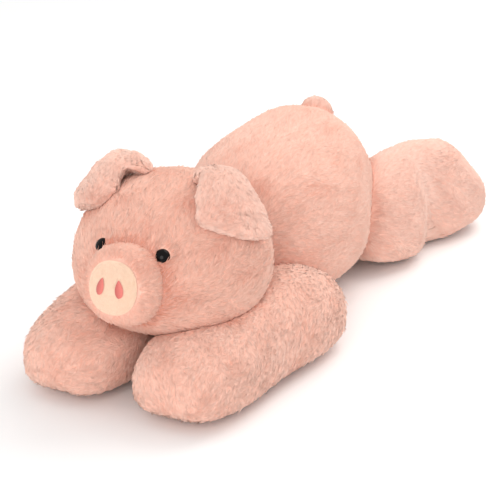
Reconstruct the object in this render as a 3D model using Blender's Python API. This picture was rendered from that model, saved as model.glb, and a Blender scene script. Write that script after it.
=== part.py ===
"""A plush pig that lies on its belly with its head on its forelegs.

Metres, +Z up. It faces -Y, its left is +X, and it lies on the plane Z = 0.

Each stuffed form is a swollen tube: rings of superellipse section, whose size rises and falls
along a path in plan. A cover is such a form with a smaller one taken out of it, the stuffing is
the smaller form, and a lesser form is cut to the shape of the larger ones that press into it.
"""
import math
from typing import NamedTuple

import bmesh
import bpy
import numpy as np
from mathutils import Matrix, Vector

# Cloth and clearances
CLOTH = 0.008
GAP = 0.0003
FLAT_CUT = 0.0005
OVERRUN = 0.02
SWING_ROOM = 0.0015

# Body
CHEST_Y = -0.118
BODY_LENGTH = 0.310
BODY_HALF_WIDTH = 0.1045
BODY_WIDEST_HEIGHT = 0.074
BODY_HEIGHT = 0.193
BELLY_SEAM_HEIGHT = 0.014
BODY_WIDTH_SHARES = (0.88, 0.97, 1.02, 0.89, 0.95)
BODY_RISE_SHARES = (0.94, 0.97, 0.99, 1.11, 0.93)

# Head, in its own frame: the nose towards -Y, its middle at the origin
HEAD_Y = -0.205
HEAD_HEIGHT = 0.125
HEAD_HALF_WIDTH = 0.104
HEAD_HALF_DEPTH = 0.110
HEAD_RISE = 0.093
HEAD_DROP = 0.073
HEAD_TURN = math.radians(2)
HEAD_WIDTH_SHARES = (0.96, 1.0, 0.98)
HEAD_RISE_SHARES = (0.92, 1.0, 1.0)

# Muzzle, its disc and its nostrils
MUZZLE_HALF_WIDTH = 0.0415
MUZZLE_HALF_HEIGHT = 0.0415
MUZZLE_DEPTH = 0.070
MUZZLE_REACH = 0.020
MUZZLE_RAISED = -0.0115
MUZZLE_TILT = math.radians(13)
DISC_HALF_WIDTH = 0.0270
DISC_HALF_HEIGHT = 0.0278
DISC_RIM = 0.0016
DISC_CROWN = 0.006
DISC_SEAT = 0.0012
DISC_CROWN_SHARES = (1, 0.9, 0.6, 0)
NOSTRIL_WIDTH = 0.0085
NOSTRIL_HEIGHT = 0.0175
NOSTRIL_THICKNESS = 0.0018
NOSTRIL_SEAT = 0.0008
NOSTRIL_SPACING = 0.0205
NOSTRIL_RAISED = 0.001
NOSTRIL_LEAN = math.radians(9)
NOSTRIL_POINT_POWER = 0.6

# Safety eyes
EYE_SPACING = 0.070
EYE_RAISED = 0.043
EYE_RADIUS = 0.008
EYE_CROWN = 0.0055
EYE_SINK = 0.004
STEM_RADIUS = 0.0025
STEM_END = 0.0025
WASHER_RADIUS = 0.0095
WASHER_THICKNESS = 0.002
WASHER_DEPTH = 0.0095

# Ears, in the head's frame, their directions given for the left one
EAR_OUT = (0.63, -0.08, 0.77)
EAR_BACKWARDS = (0.40, 0.89, -0.24)
EAR_LENGTH = 0.094
EAR_HALF_WIDTH = 0.043
EAR_SWAY = 0.020
EAR_LIFT = 0.0115
EAR_BACK_THICKNESS = 0.0115
EAR_LINING_THICKNESS = 0.020
EAR_WIDTH_SHARES = (0.53, 0.51, 0.77, 1.05, 1.15)
EAR_SWAY_SHARES = (-0.1, -0.1, -0.1, 0.0, 1.0)
EAR_LIFT_SHARES = (0.2, 1.1, 1.6, 1.35, 0.95, 0.9, 0.8)
EAR_DROOP_SHARES = (0.0, 0.1, 0.45, 0.4, 0.3)
EAR_HOLLOW_SHARES = (0.0, 0.1, 0.9, 0.6, 0.0, 0.0, 0.0, 0.0, 0.0)
EAR_END_POWER = 2.5
EAR_SIDE_POWER = 2.8

# Forelegs, places given for the left one
SHOULDER = (0.0995, -0.050)
FORELEG_BEND = (0.062, -0.182)
PAW = (0.065, -0.340)
FORELEG_HALF_WIDTH = 0.0635
FORELEG_WIDEST_HEIGHT = 0.037
FORELEG_HEIGHT = 0.0945
FORELEG_WIDTH_SHARES = (0.98, 1.01, 0.96, 1.0, 1.0)
FORELEG_RISE_SHARES = (0.98, 1.0, 0.96, 0.92, 0.86)
FORELEG_SWING = math.radians(25)
SWING_STEPS = 4

# Hind legs, places given for the left one, their Y counted from the rump
HIP_X = 0.077
HIP_BEFORE_RUMP = 0.095
KNEE_X = 0.063
KNEE_BEHIND_RUMP = 0.028
FOOT_X = 0.132
FOOT_BEHIND_RUMP = 0.140
HIND_LEG_HALF_WIDTH = 0.056
HIND_LEG_WIDEST_HEIGHT = 0.040
HIND_LEG_HEIGHT = 0.128
HIND_LEG_WIDTH_SHARES = (1.0, 1.04, 0.90, 0.95, 1.02)
HIND_LEG_RISE_SHARES = (1.0, 1.0, 1.0, 0.95, 0.55)
KNEE_CREASE_SHARE = 0.3
KNEE_SPREAD_SHARE = 0.25

SOLE_SEAM_HEIGHT = 0.011

# Tail
TAIL_RADIUS = 0.0205
TAIL_BEFORE_RUMP = 0.057
TAIL_SUNK = 0.004

# Rings and sides of the outer and the inner forms
OUTER_RINGS, OUTER_SIDES = 11, 24
LIMB_RINGS, LIMB_SIDES = 10, 16
INNER_RINGS, INNER_SIDES = 7, 12
SMALL_RINGS, SMALL_SIDES = 7, 16
EAR_RINGS, EAR_SIDES = 10, 16
TURNED_SIDES = 20
PATH_STEPS = 24
DOME_STEPS = 4
BISECTIONS = 40

# Colours of the photo, linear
PLUSH = (0.80, 0.47, 0.36)
CREAM = (0.86, 0.62, 0.44)
CORAL = (0.78, 0.20, 0.16)
FILLING = (0.85, 0.84, 0.82)
GLOSS_BLACK = (0.010, 0.008, 0.008)
CLEAR_WHITE = (0.75, 0.75, 0.73)

PILE_ROUGHNESS = 0.95
STUFFING_ROUGHNESS = 0.9
THREAD_ROUGHNESS = 0.6
WASHER_ROUGHNESS = 0.4
GLOSS_ROUGHNESS = 0.08

# Places that follow from those sizes
RUMP_Y = CHEST_Y + BODY_LENGTH
TAIL_Y = RUMP_Y - TAIL_BEFORE_RUMP
HIP = (HIP_X, RUMP_Y - HIP_BEFORE_RUMP)
KNEE_BEND = (KNEE_X, RUMP_Y + KNEE_BEHIND_RUMP)
FOOT = (FOOT_X, RUMP_Y + FOOT_BEHIND_RUMP)

# How far the cutting boxes reach, past every form
REACH = BODY_LENGTH * 2


class Form(NamedTuple):
    """A stuffed form: a path in plan, and the sizes of its widest section."""

    path: tuple
    half_width: float
    widest: float
    rise: float
    drop: float
    width_shares: tuple
    rise_shares: tuple
    end_power: float
    top_power: float
    under_power: float
    crease: float = 0
    crease_spread: float = 1


def superellipse(angles, power):
    """A unit circle's points, each pushed straight out to the superellipse of that power."""
    across, up = np.cos(angles), np.sin(angles)
    reach = (np.abs(across) ** power + np.abs(up) ** power) ** (-1 / power)
    return across * reach, up * reach


def between(shares, t):
    """A smooth value along t, from -1 to 1, that eases from each of evenly spaced shares to the next."""
    place = np.clip((t + 1) / 2, 0, 1) * (len(shares) - 1)
    first = np.minimum(place.astype(int), len(shares) - 2)
    ease = (1 - np.cos(math.pi * (place - first))) / 2
    table = np.array(shares)
    return table[first] * (1 - ease) + table[first + 1] * ease


def curve_point(path, s):
    """Points of the quadratic curve from a path's start, by way of its bend, to its end, and their slopes."""
    start, bend, end = (np.array(point) for point in path)
    s = np.asarray(s)[:, None]
    places = (1 - s) ** 2 * start + 2 * s * (1 - s) * bend + s**2 * end
    slopes = 2 * (1 - s) * (bend - start) + 2 * s * (end - bend)
    return places, slopes / np.linalg.norm(slopes, axis=1, keepdims=True)


def path_length(path):
    places, _ = curve_point(path, np.linspace(0, 1, PATH_STEPS + 1))
    return np.linalg.norm(np.diff(places, axis=0), axis=1).sum()


def form_rings(form, grow, counts):
    """Rings of points round a form whose half sizes are each grown by grow.

    Along the path t runs from -1 to 1, and a ring's size share is what the superellipse of the
    end power leaves, so that both ends close in a dome. The first and last rings are points.
    A crease dents the side that a bent path folds together, at its middle.
    """
    rings, sides = counts
    t, size = superellipse(np.linspace(math.pi, 0, rings + 2), form.end_power)
    size[[0, -1]] = 0
    half_length = path_length(form.path) / 2
    s = (1 + t * (1 + grow / half_length)) / 2
    places, slopes = curve_point(form.path, s)
    turn = np.linspace(0, 2 * math.pi, sides, endpoint=False)
    top_x, top_z = superellipse(turn, form.top_power)
    under_x, under_z = superellipse(turn, form.under_power)
    above = turn < math.pi
    width = (form.half_width * between(form.width_shares, t) + grow) * size
    rise = (form.rise * between(form.rise_shares, t) + grow) * size
    drop = (form.drop + grow) * size
    across = width[:, None] * np.where(above, top_x, under_x)
    dent = form.crease * np.exp(-((t / form.crease_spread) ** 2))
    across *= np.where(across > 0, 1 - dent[:, None], 1)
    up = np.where(above, rise[:, None] * top_z, drop[:, None] * under_z)
    points = np.empty((rings + 2, sides, 3))
    points[:, :, 0] = places[:, :1] + slopes[:, 1:2] * across
    points[:, :, 1] = places[:, 1:2] - slopes[:, :1] * across
    points[:, :, 2] = form.widest + up
    return points


def mesh_from_rings(name, points):
    """A closed mesh of rings of points whose first and last rings are each one point.

    Every face between two rings is split along the same diagonal, so that a form and the same
    form grown a little lie facet to facet.
    """
    rings, sides, _ = points.shape
    inner = points[1:-1].reshape(-1, 3)
    corners = np.vstack([inner, points[0, :1], points[-1, :1]])
    start, end = len(inner), len(inner) + 1
    faces = []
    for i in range(sides):
        j = (i + 1) % sides
        faces.append((start, j, i))
        faces.append((end, (rings - 3) * sides + i, (rings - 3) * sides + j))
        for ring in range(rings - 3):
            low, high = ring * sides, (ring + 1) * sides
            faces.append((low + i, low + j, high + j))
            faces.append((low + i, high + j, high + i))
    mesh = bpy.data.meshes.new(name)
    mesh.from_pydata(corners.tolist(), [], faces)
    face_outwards(mesh)
    return mesh


def face_outwards(mesh):
    work = bmesh.new()
    work.from_mesh(mesh)
    bmesh.ops.recalc_face_normals(work, faces=work.faces[:])
    if work.calc_volume(signed=True) < 0:
        bmesh.ops.reverse_faces(work, faces=work.faces[:])
    work.to_mesh(mesh)
    work.free()
    mesh.shade_smooth()


def mirrored(points, side):
    """The points as they are on the left, side 1, or mirrored to the right, side -1."""
    return points * np.array((side, 1, 1))


def moved(points, matrix):
    table = np.array(matrix)
    return points @ table[:3, :3].T + table[:3, 3]


def finish(node, colour, roughness):
    """Gives a node a material of its own."""
    material = bpy.data.materials.new(node.name)
    material.use_nodes = True
    shader = material.node_tree.nodes["Principled BSDF"]
    shader.inputs["Base Color"].default_value = (*colour, 1)
    shader.inputs["Roughness"].default_value = roughness
    shader.inputs["Metallic"].default_value = 0
    node.data.materials.clear()
    node.data.materials.append(material)


def add_object(name, mesh, parent=None):
    """Links a mesh that is written in world coordinates, under a parent that stays where it is."""
    made = bpy.data.objects.new(name, mesh)
    bpy.context.scene.collection.objects.link(made)
    if parent:
        mesh.transform(Matrix.Translation(-parent.location))
        made.parent = parent
    return made


def add_empty(name, place):
    made = bpy.data.objects.new(name, None)
    made.location = Vector(place)
    bpy.context.scene.collection.objects.link(made)
    return made


def add_cutter(name, mesh):
    made = add_object(name, mesh)
    made.hide_render = True
    made.display_type = "WIRE"
    return made


def cut(target, tool, operation="DIFFERENCE"):
    modifier = target.modifiers.new(tool.name, "BOOLEAN")
    modifier.operation = operation
    modifier.object = tool
    modifier.solver = "EXACT"


def box_mesh(name, low, high):
    mesh = bpy.data.meshes.new(name)
    work = bmesh.new()
    low, high = Vector(low), Vector(high)
    size = Matrix.Diagonal((*(high - low), 1))
    bmesh.ops.create_cube(work, size=1, matrix=Matrix.Translation((low + high) / 2) @ size)
    work.to_mesh(mesh)
    work.free()
    return mesh


def turned_rings(profile, sides):
    """Rings of a profile of (radius, height) pairs turned about Z. It starts and ends on the axis."""
    turn = np.linspace(0, 2 * math.pi, sides, endpoint=False)
    radius = np.array([pair[0] for pair in profile])[:, None]
    height = np.array([pair[1] for pair in profile])[:, None]
    return np.stack(
        [radius * np.cos(turn), radius * np.sin(turn), height + 0 * turn], axis=2
    )


# The forms

BODY_FORM = Form(
    path=((0, CHEST_Y), (0, (CHEST_Y + RUMP_Y) / 2), (0, RUMP_Y)),
    half_width=BODY_HALF_WIDTH,
    widest=BODY_WIDEST_HEIGHT,
    rise=BODY_HEIGHT - BODY_WIDEST_HEIGHT,
    drop=BODY_WIDEST_HEIGHT + FLAT_CUT,
    width_shares=BODY_WIDTH_SHARES,
    rise_shares=BODY_RISE_SHARES,
    end_power=2.4,
    top_power=2.3,
    under_power=2.0,
)

HEAD_FORM = Form(
    path=((0, -HEAD_HALF_DEPTH), (0, 0), (0, HEAD_HALF_DEPTH)),
    half_width=HEAD_HALF_WIDTH,
    widest=0,
    rise=HEAD_RISE,
    drop=HEAD_DROP,
    width_shares=HEAD_WIDTH_SHARES,
    rise_shares=HEAD_RISE_SHARES,
    end_power=2.0,
    top_power=2.1,
    under_power=2.3,
)

HEAD_FRAME = Matrix.Translation((0, HEAD_Y, HEAD_HEIGHT)) @ Matrix.Rotation(HEAD_TURN, 4, "Z")

MUZZLE_FORM = Form(
    path=((0, -MUZZLE_DEPTH / 2), (0, 0), (0, MUZZLE_DEPTH / 2)),
    half_width=MUZZLE_HALF_WIDTH,
    widest=0,
    rise=MUZZLE_HALF_HEIGHT,
    drop=MUZZLE_HALF_HEIGHT,
    width_shares=(1.0, 1.0),
    rise_shares=(1.0, 1.0),
    end_power=4.0,
    top_power=2.2,
    under_power=2.2,
)

MUZZLE_FRAME = (
    HEAD_FRAME
    @ Matrix.Translation((0, 0, MUZZLE_RAISED))
    @ Matrix.Rotation(-MUZZLE_TILT, 4, "X")
    @ Matrix.Translation((0, MUZZLE_DEPTH / 2 - HEAD_HALF_DEPTH - MUZZLE_REACH, 0))
)

FORELEG_FORM = Form(
    path=(SHOULDER, FORELEG_BEND, PAW),
    half_width=FORELEG_HALF_WIDTH,
    widest=FORELEG_WIDEST_HEIGHT,
    rise=FORELEG_HEIGHT - FORELEG_WIDEST_HEIGHT,
    drop=FORELEG_WIDEST_HEIGHT + FLAT_CUT,
    width_shares=FORELEG_WIDTH_SHARES,
    rise_shares=FORELEG_RISE_SHARES,
    end_power=3.6,
    top_power=2.3,
    under_power=3.2,
)

HIND_LEG_FORM = Form(
    path=(HIP, KNEE_BEND, FOOT),
    half_width=HIND_LEG_HALF_WIDTH,
    widest=HIND_LEG_WIDEST_HEIGHT,
    rise=HIND_LEG_HEIGHT - HIND_LEG_WIDEST_HEIGHT,
    drop=HIND_LEG_WIDEST_HEIGHT + FLAT_CUT,
    width_shares=HIND_LEG_WIDTH_SHARES,
    rise_shares=HIND_LEG_RISE_SHARES,
    end_power=2.75,
    top_power=2.2,
    under_power=3.2,
    crease=KNEE_CREASE_SHARE,
    crease_spread=KNEE_SPREAD_SHARE,
)

OUTER = (OUTER_RINGS, OUTER_SIDES)
LIMB = (LIMB_RINGS, LIMB_SIDES)
INNER = (INNER_RINGS, INNER_SIDES)
SMALL = (SMALL_RINGS, SMALL_SIDES)


def section_level(form, points):
    """How far out of a straight form points are: 1 on its surface, less inside it."""
    x, y, z = np.moveaxis(np.array(points), -1, 0)
    t = y / (path_length(form.path) / 2)
    rise = form.rise * between(form.rise_shares, t)
    power = np.where(z >= form.widest, form.top_power, form.under_power)
    up = (z - form.widest) / np.where(z >= form.widest, rise, form.drop)
    across = x / (form.half_width * between(form.width_shares, t))
    size = (np.abs(across) ** power + np.abs(up) ** power) ** (1 / power)
    return size**form.end_power + np.abs(t) ** form.end_power


def surface_distance(form, ways):
    """How far from its middle a straight form's surface lies, in each of some directions."""
    near = np.zeros(ways.shape[:-1])
    far = near + path_length(form.path)
    for _ in range(BISECTIONS):
        middle = (near + far) / 2
        inside = section_level(form, middle[..., None] * ways) < 1
        near, far = np.where(inside, middle, near), np.where(inside, far, middle)
    return near


def front_point(form, x, z):
    """The place on a straight form's front surface at x and z, and the outward direction there."""
    near, far = -path_length(form.path) / 2, 0
    for _ in range(BISECTIONS):
        middle = (near + far) / 2
        if section_level(form, (x, middle, z)) > 1:
            near = middle
        else:
            far = middle
    place = Vector((x, far, z))
    step = GAP
    slope = Vector(
        section_level(form, place + step * axis) - section_level(form, place - step * axis)
        for axis in (Vector((1, 0, 0)), Vector((0, 1, 0)), Vector((0, 0, 1)))
    )
    return place, slope.normalized()


def section_at(form, y):
    """A straight form's half width and rise at y."""
    t = (y - form.path[0][1]) / (form.path[2][1] - form.path[0][1]) * 2 - 1
    size = (1 - abs(t) ** form.end_power) ** (1 / form.end_power)
    place = np.array([t])
    width = form.half_width * between(form.width_shares, place)[0] * size
    return width, form.rise * between(form.rise_shares, place)[0] * size


def top_height(form, y):
    return form.widest + section_at(form, y)[1]


def form_mesh(name, form, grow, counts, matrix=None, side=1):
    points = mirrored(form_rings(form, grow, counts), side)
    if matrix:
        points = moved(points, matrix)
    return mesh_from_rings(name, points)


def seam_box(name, seam_height, above):
    """A box that holds all above a seam's gap, or all below it."""
    if above:
        return box_mesh(name, (-REACH, -REACH, seam_height - GAP / 2), (REACH, REACH, REACH))
    return box_mesh(name, (-REACH, -REACH, -REACH), (REACH, REACH, seam_height + GAP / 2))


def clear_scene():
    for existing in list(bpy.data.objects):
        bpy.data.objects.remove(existing)


def foreleg_hinge(side):
    """Where a foreleg turns: at the side of the chest, level with the leg's rounded rear end."""
    return Vector((side * section_at(BODY_FORM, SHOULDER[1])[0], SHOULDER[1], 0))


def hind_leg_hinge(side):
    return Vector((side * section_at(BODY_FORM, HIP[1])[0], HIP[1], 0))


def over_head(along, across, height):
    """Points at a height over the head, on straight lines out of its middle.

    Along runs out from the left ear's middle towards its free end, and across to the back.
    """
    out = np.array(Vector(EAR_OUT).normalized())
    backwards = np.array(EAR_BACKWARDS) - out * (out @ np.array(EAR_BACKWARDS))
    backwards /= np.linalg.norm(backwards)
    middle = surface_distance(HEAD_FORM, out) * out
    outwards = np.cross(backwards, out)
    ways = middle + along[..., None] * outwards + across[..., None] * backwards
    ways /= np.linalg.norm(ways, axis=-1, keepdims=True)
    return (surface_distance(HEAD_FORM, ways) + height)[..., None] * ways


def ear_hinge(side):
    """Where an ear turns: on the head's surface, at the end of the ear's root."""
    root = over_head(np.array([-EAR_LENGTH / 2]), np.zeros(1), np.zeros(1))
    return HEAD_FRAME @ Vector(mirrored(root[0], side))


def head_hinge():
    """At the nape, where the head meets the top of the back."""
    low, high = HEAD_Y, (CHEST_Y + RUMP_Y) / 2
    for _ in range(BISECTIONS):
        y = (low + high) / 2
        back = top_height(BODY_FORM, y) if y > CHEST_Y else 0
        if back < HEAD_HEIGHT + top_height(HEAD_FORM, y - HEAD_Y):
            low = y
        else:
            high = y
    return Vector((0, y, top_height(BODY_FORM, y)))


def tail_hinge():
    """At the front edge of the tail's seam."""
    front = TAIL_Y - TAIL_RADIUS
    return Vector((0, front, top_height(BODY_FORM, front)))


def turned_about(place, angle):
    return Matrix.Translation(place) @ Matrix.Rotation(angle, 4, "Z") @ Matrix.Translation(-place)


def make_tools():
    """The forms that cut the others, shared by all the covers they press into."""
    low = Vector((-REACH, -REACH, -REACH))
    tools = {
        "floor": add_cutter("floor_cut", box_mesh("floor_cut", low, (REACH, REACH, 0))),
        "belly_above": add_cutter("belly_above", seam_box("belly_above", BELLY_SEAM_HEIGHT, True)),
        "belly_below": add_cutter("belly_below", seam_box("belly_below", BELLY_SEAM_HEIGHT, False)),
        "sole_above": add_cutter("sole_above", seam_box("sole_above", SOLE_SEAM_HEIGHT, True)),
        "sole_below": add_cutter("sole_below", seam_box("sole_below", SOLE_SEAM_HEIGHT, False)),
        "body": add_cutter("body_near", form_mesh("body_near", BODY_FORM, GAP, OUTER)),
        "head": add_cutter("head_near", form_mesh("head_near", HEAD_FORM, GAP, OUTER, HEAD_FRAME)),
    }
    return tools


def head_presses(side):
    """Cutters for a foreleg's outside, hollow and stuffing, where the head lies on them.

    The first three are the head where it rests. The others are the head as the leg meets it on
    its way out, turned back about the leg's hinge, so that the leg can swing out from under it.
    """
    presses = []
    for step in range(SWING_STEPS + 1):
        turn = turned_about(foreleg_hinge(side), -side * FORELEG_SWING * step / SWING_STEPS)
        room = SWING_ROOM if step else 0
        cutters = []
        for word, grow in (("outside", GAP), ("cloth", GAP + CLOTH), ("filling", GAP * 2 + CLOTH)):
            name = f"head_{word}_{side}_{step}"
            mesh = form_mesh(name, HEAD_FORM, grow + room, OUTER, turn @ HEAD_FRAME)
            cutters.append(add_cutter(name, mesh))
        presses.append(cutters)
    return presses


def add_cover(names, form, counts, tools, parent, seams, side=1, beside=None, presses=()):
    """A cover, its lower panel and its stuffing.

    beside is a larger form that it is sewn to, and presses are those that lie on it, each with
    its cutters for the outside, the hollow and the stuffing.
    """
    cover_name, panel_name, filling_name = names
    hollow_name = cover_name + "_hollow"
    hollow = add_cutter(hollow_name, form_mesh(hollow_name, form, -CLOTH, INNER, side=side))
    filling_mesh = form_mesh(filling_name, form, -CLOTH - GAP, INNER, side=side)
    filling = add_object(filling_name, filling_mesh, parent)
    for _, cloth_tool, filling_tool in presses:
        cut(hollow, cloth_tool)
        cut(filling, filling_tool)
    if beside:
        cut(filling, beside)
    finish(filling, FILLING, STUFFING_ROUGHNESS)
    for name, seam in ((cover_name, seams[0]), (panel_name, seams[1])):
        piece = add_object(name, form_mesh(name, form, 0, counts, side=side), parent)
        cut(piece, tools["floor"])
        if beside:
            cut(piece, beside)
        for outside_tool, _, _ in presses:
            cut(piece, outside_tool)
        cut(piece, hollow)
        cut(piece, tools[seam])
        finish(piece, PLUSH, PILE_ROUGHNESS)


def add_body(tools, parent):
    add_cover(
        ("body_skin", "belly_panel", "body_stuffing"), BODY_FORM, OUTER, tools, parent,
        seams=("belly_below", "belly_above"),
    )


def add_head(tools, parent):
    """The head's cover is open where it is sewn to the chest and where the muzzle is sewn on."""
    hollow = add_cutter(
        "head_hollow", form_mesh("head_hollow", HEAD_FORM, -CLOTH, INNER, HEAD_FRAME)
    )
    muzzle_hole = add_cutter(
        "muzzle_hole", form_mesh("muzzle_hole", MUZZLE_FORM, -CLOTH, SMALL, MUZZLE_FRAME)
    )
    cover = add_object(
        "head_skin", form_mesh("head_skin", HEAD_FORM, 0, OUTER, HEAD_FRAME), parent
    )
    filling = add_object(
        "head_stuffing",
        form_mesh("head_stuffing", HEAD_FORM, -CLOTH - GAP, INNER, HEAD_FRAME),
        parent,
    )
    for tool in (tools["body"], hollow, muzzle_hole):
        cut(cover, tool)
    cut(filling, tools["body"])
    finish(cover, PLUSH, PILE_ROUGHNESS)
    finish(filling, FILLING, STUFFING_ROUGHNESS)
    tools["head_hollow"] = hollow
    return cover, filling


def add_muzzle(tools, parent):
    """The muzzle's cover is a cup that opens into the head, with its stuffing in it."""
    cover = add_object(
        "muzzle_skin",
        form_mesh("muzzle_skin", MUZZLE_FORM, 0, (SMALL_RINGS, OUTER_SIDES), MUZZLE_FRAME),
        parent,
    )
    filling = add_object(
        "muzzle_stuffing",
        form_mesh("muzzle_stuffing", MUZZLE_FORM, -CLOTH - GAP, SMALL, MUZZLE_FRAME),
        parent,
    )
    hollow = add_cutter(
        "muzzle_hollow", form_mesh("muzzle_hollow", MUZZLE_FORM, -CLOTH, SMALL, MUZZLE_FRAME)
    )
    cut(cover, tools["head"])
    cut(cover, hollow)
    cut(filling, tools["head_hollow"])
    finish(cover, PLUSH, PILE_ROUGHNESS)
    finish(filling, FILLING, STUFFING_ROUGHNESS)
    seat = disc_mesh("disc_seat", GAP, DISC_SEAT + OVERRUN)
    cut(cover, add_cutter("disc_seat", seat))
    return cover


def disc_back():
    """Where the disc's back lies along the muzzle's own Y, a little inside the muzzle's front."""
    return -MUZZLE_DEPTH / 2 + DISC_SEAT


def disc_mesh(name, grow, thickness=0):
    """The snout disc: a superellipse plate with a crowned front, or the straight seat cut for it."""
    turn = np.linspace(0, 2 * math.pi, OUTER_SIDES, endpoint=False)
    x, z = superellipse(turn, MUZZLE_FORM.top_power)
    outline = np.stack([x * (DISC_HALF_WIDTH + grow), 0 * x, z * (DISC_HALF_HEIGHT + grow)], axis=1)
    if thickness:
        profile = ((0, grow), (1, grow), (1, -thickness), (0, -thickness))
    else:
        crown = [(share, -DISC_RIM - DISC_CROWN * (1 - share**2)) for share in DISC_CROWN_SHARES]
        profile = ((0, 0), (1, 0), *crown)
    rings = [outline * share + np.array((0, disc_back() - grow + depth, 0)) for share, depth in profile]
    return mesh_from_rings(name, moved(np.array(rings), MUZZLE_FRAME))


def nostril_mesh(name, side, grow, front, back):
    """A leaning drop, carried from front to back along Y.

    Its width follows sin a sin(a / 2) to a power and its height cos a, so its top is pointed.
    """
    turn = np.linspace(0, 2 * math.pi, SMALL_SIDES, endpoint=False)
    drop = np.sin(turn) * np.sin(turn / 2) ** NOSTRIL_POINT_POWER
    x = (NOSTRIL_WIDTH / 2 + grow) * drop / drop.max()
    z = (NOSTRIL_HEIGHT / 2 + grow) * np.cos(turn)
    lean = NOSTRIL_LEAN * side
    outline = np.stack(
        [x * math.cos(lean) - z * math.sin(lean), 0 * x, x * math.sin(lean) + z * math.cos(lean)],
        axis=1,
    )
    centre = np.array((side * NOSTRIL_SPACING / 2, 0, NOSTRIL_RAISED))
    rings = [
        outline * share + centre + np.array((0, depth, 0))
        for share, depth in ((0, back), (1, back), (1, front), (0, front))
    ]
    return mesh_from_rings(name, moved(np.array(rings), MUZZLE_FRAME))


def add_disc(parent):
    disc = add_object("snout_disc", disc_mesh("snout_disc", 0), parent)
    finish(disc, CREAM, PILE_ROUGHNESS)
    surface = disc_back() - DISC_RIM - DISC_CROWN * (1 - (NOSTRIL_SPACING / 2 / DISC_HALF_WIDTH) ** 2)
    for side, word in ((1, "left"), (-1, "right")):
        back = surface + NOSTRIL_SEAT
        name = "nostril_" + word
        pad = add_object(
            name, nostril_mesh(name, side, 0, back - NOSTRIL_THICKNESS, back), parent
        )
        finish(pad, CORAL, THREAD_ROUGHNESS)
        seat = nostril_mesh(name + "_seat", side, GAP, back - OVERRUN, back + GAP)
        cut(disc, add_cutter(name + "_seat", seat))


def eye_frame(side):
    """A frame on the head's surface, its Z along the outward direction there."""
    place, out = front_point(HEAD_FORM, side * EYE_SPACING / 2, EYE_RAISED)
    turned = out.to_track_quat("Z", "Y").to_matrix().to_4x4()
    return HEAD_FRAME @ Matrix.Translation(place) @ turned


def stem_end():
    return -WASHER_DEPTH - WASHER_THICKNESS - STEM_END


def turned_rod(name, frame, radius, low, high):
    """A short round rod along a frame's Z."""
    rings = turned_rings([(0, low), (radius, low), (radius, high), (0, high)], TURNED_SIDES)
    return mesh_from_rings(name, moved(rings, frame))


def eye_profile(grow):
    """The eye's dome and the stem behind it, or their clearance with the lock washer's."""
    stem, end = STEM_RADIUS + grow, stem_end() - grow
    back, rim = -EYE_SINK - grow, EYE_RADIUS + grow
    if not grow:
        dome = [
            (EYE_RADIUS * math.cos(angle), -EYE_SINK + EYE_CROWN * math.sin(angle))
            for angle in np.linspace(0, math.pi / 2, DOME_STEPS, endpoint=False)
        ]
        return [(0, end), (stem, end), (stem, back), *dome, (0, -EYE_SINK + EYE_CROWN)]
    washer = WASHER_RADIUS + grow
    return [
        (0, end), (washer, end), (washer, -WASHER_DEPTH + grow), (stem, -WASHER_DEPTH + grow),
        (stem, back), (rim, back), (rim, OVERRUN), (0, OVERRUN),
    ]


def add_eyes(covers, filling, parent):
    for side, word in ((1, "left"), (-1, "right")):
        frame = eye_frame(side)
        eye_rings = moved(turned_rings(eye_profile(0), TURNED_SIDES), frame)
        eye = add_object("eye_" + word, mesh_from_rings("eye_" + word, eye_rings), parent)
        finish(eye, GLOSS_BLACK, GLOSS_ROUGHNESS)
        clear = moved(turned_rings(eye_profile(GAP), TURNED_SIDES), frame)
        clearance = add_cutter(
            f"eye_{word}_clearance", mesh_from_rings(f"eye_{word}_clearance", clear)
        )
        for cover in covers:
            cut(cover, clearance)
        pocket = turned_rod(f"eye_{word}_pocket", frame, WASHER_RADIUS + GAP, stem_end() - GAP, OVERRUN)
        cut(filling, add_cutter(f"eye_{word}_pocket", pocket))
        top, under = -WASHER_DEPTH, -WASHER_DEPTH - WASHER_THICKNESS
        name = "eye_washer_" + word
        washer = add_object(name, turned_rod(name, frame, WASHER_RADIUS, under, top), parent)
        hole = turned_rod(name + "_hole", frame, STEM_RADIUS + GAP, under - OVERRUN, OVERRUN)
        cut(washer, add_cutter(name + "_hole", hole))
        finish(washer, CLEAR_WHITE, WASHER_ROUGHNESS)


def ear_rings(layer):
    """Rings of half of a pad that is laid over the head, from its root to its free end.

    Layer 1 is the half on the ear's back and -1 the half that lines it, and both keep half of
    the gap from the ear's middle. The middle rises in a fold beside the ear's root and then keeps
    over the head. The lining reaches down to the head, but not in the hollow at the fold's front.
    """
    t, size = superellipse(np.linspace(math.pi, 0, EAR_RINGS + 2), EAR_END_POWER)
    size[[0, -1]] = 0
    bow = np.linspace(0, 2 * math.pi, EAR_SIDES, endpoint=False)
    wide, swell = superellipse(bow, EAR_SIDE_POWER)
    width = EAR_HALF_WIDTH * between(EAR_WIDTH_SHARES, t) * size
    thickness = EAR_BACK_THICKNESS
    if layer < 0:
        hollow = between(EAR_HOLLOW_SHARES, t)[:, None] * ((1 - wide) / 2) ** 2
        thickness = EAR_LINING_THICKNESS * (1 - hollow)
    lift = EAR_LIFT * between(EAR_LIFT_SHARES, t)[:, None]
    droop = between(EAR_DROOP_SHARES, t)[:, None] * wide**2
    across = width[:, None] * wide + EAR_SWAY * between(EAR_SWAY_SHARES, t)[:, None]
    along = EAR_LENGTH / 2 * t[:, None] + 0 * across
    swollen = thickness * size[:, None] * np.maximum(swell, 0)
    return over_head(along, across, lift * (1 - droop) + layer * (swollen + GAP / 2))


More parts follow.
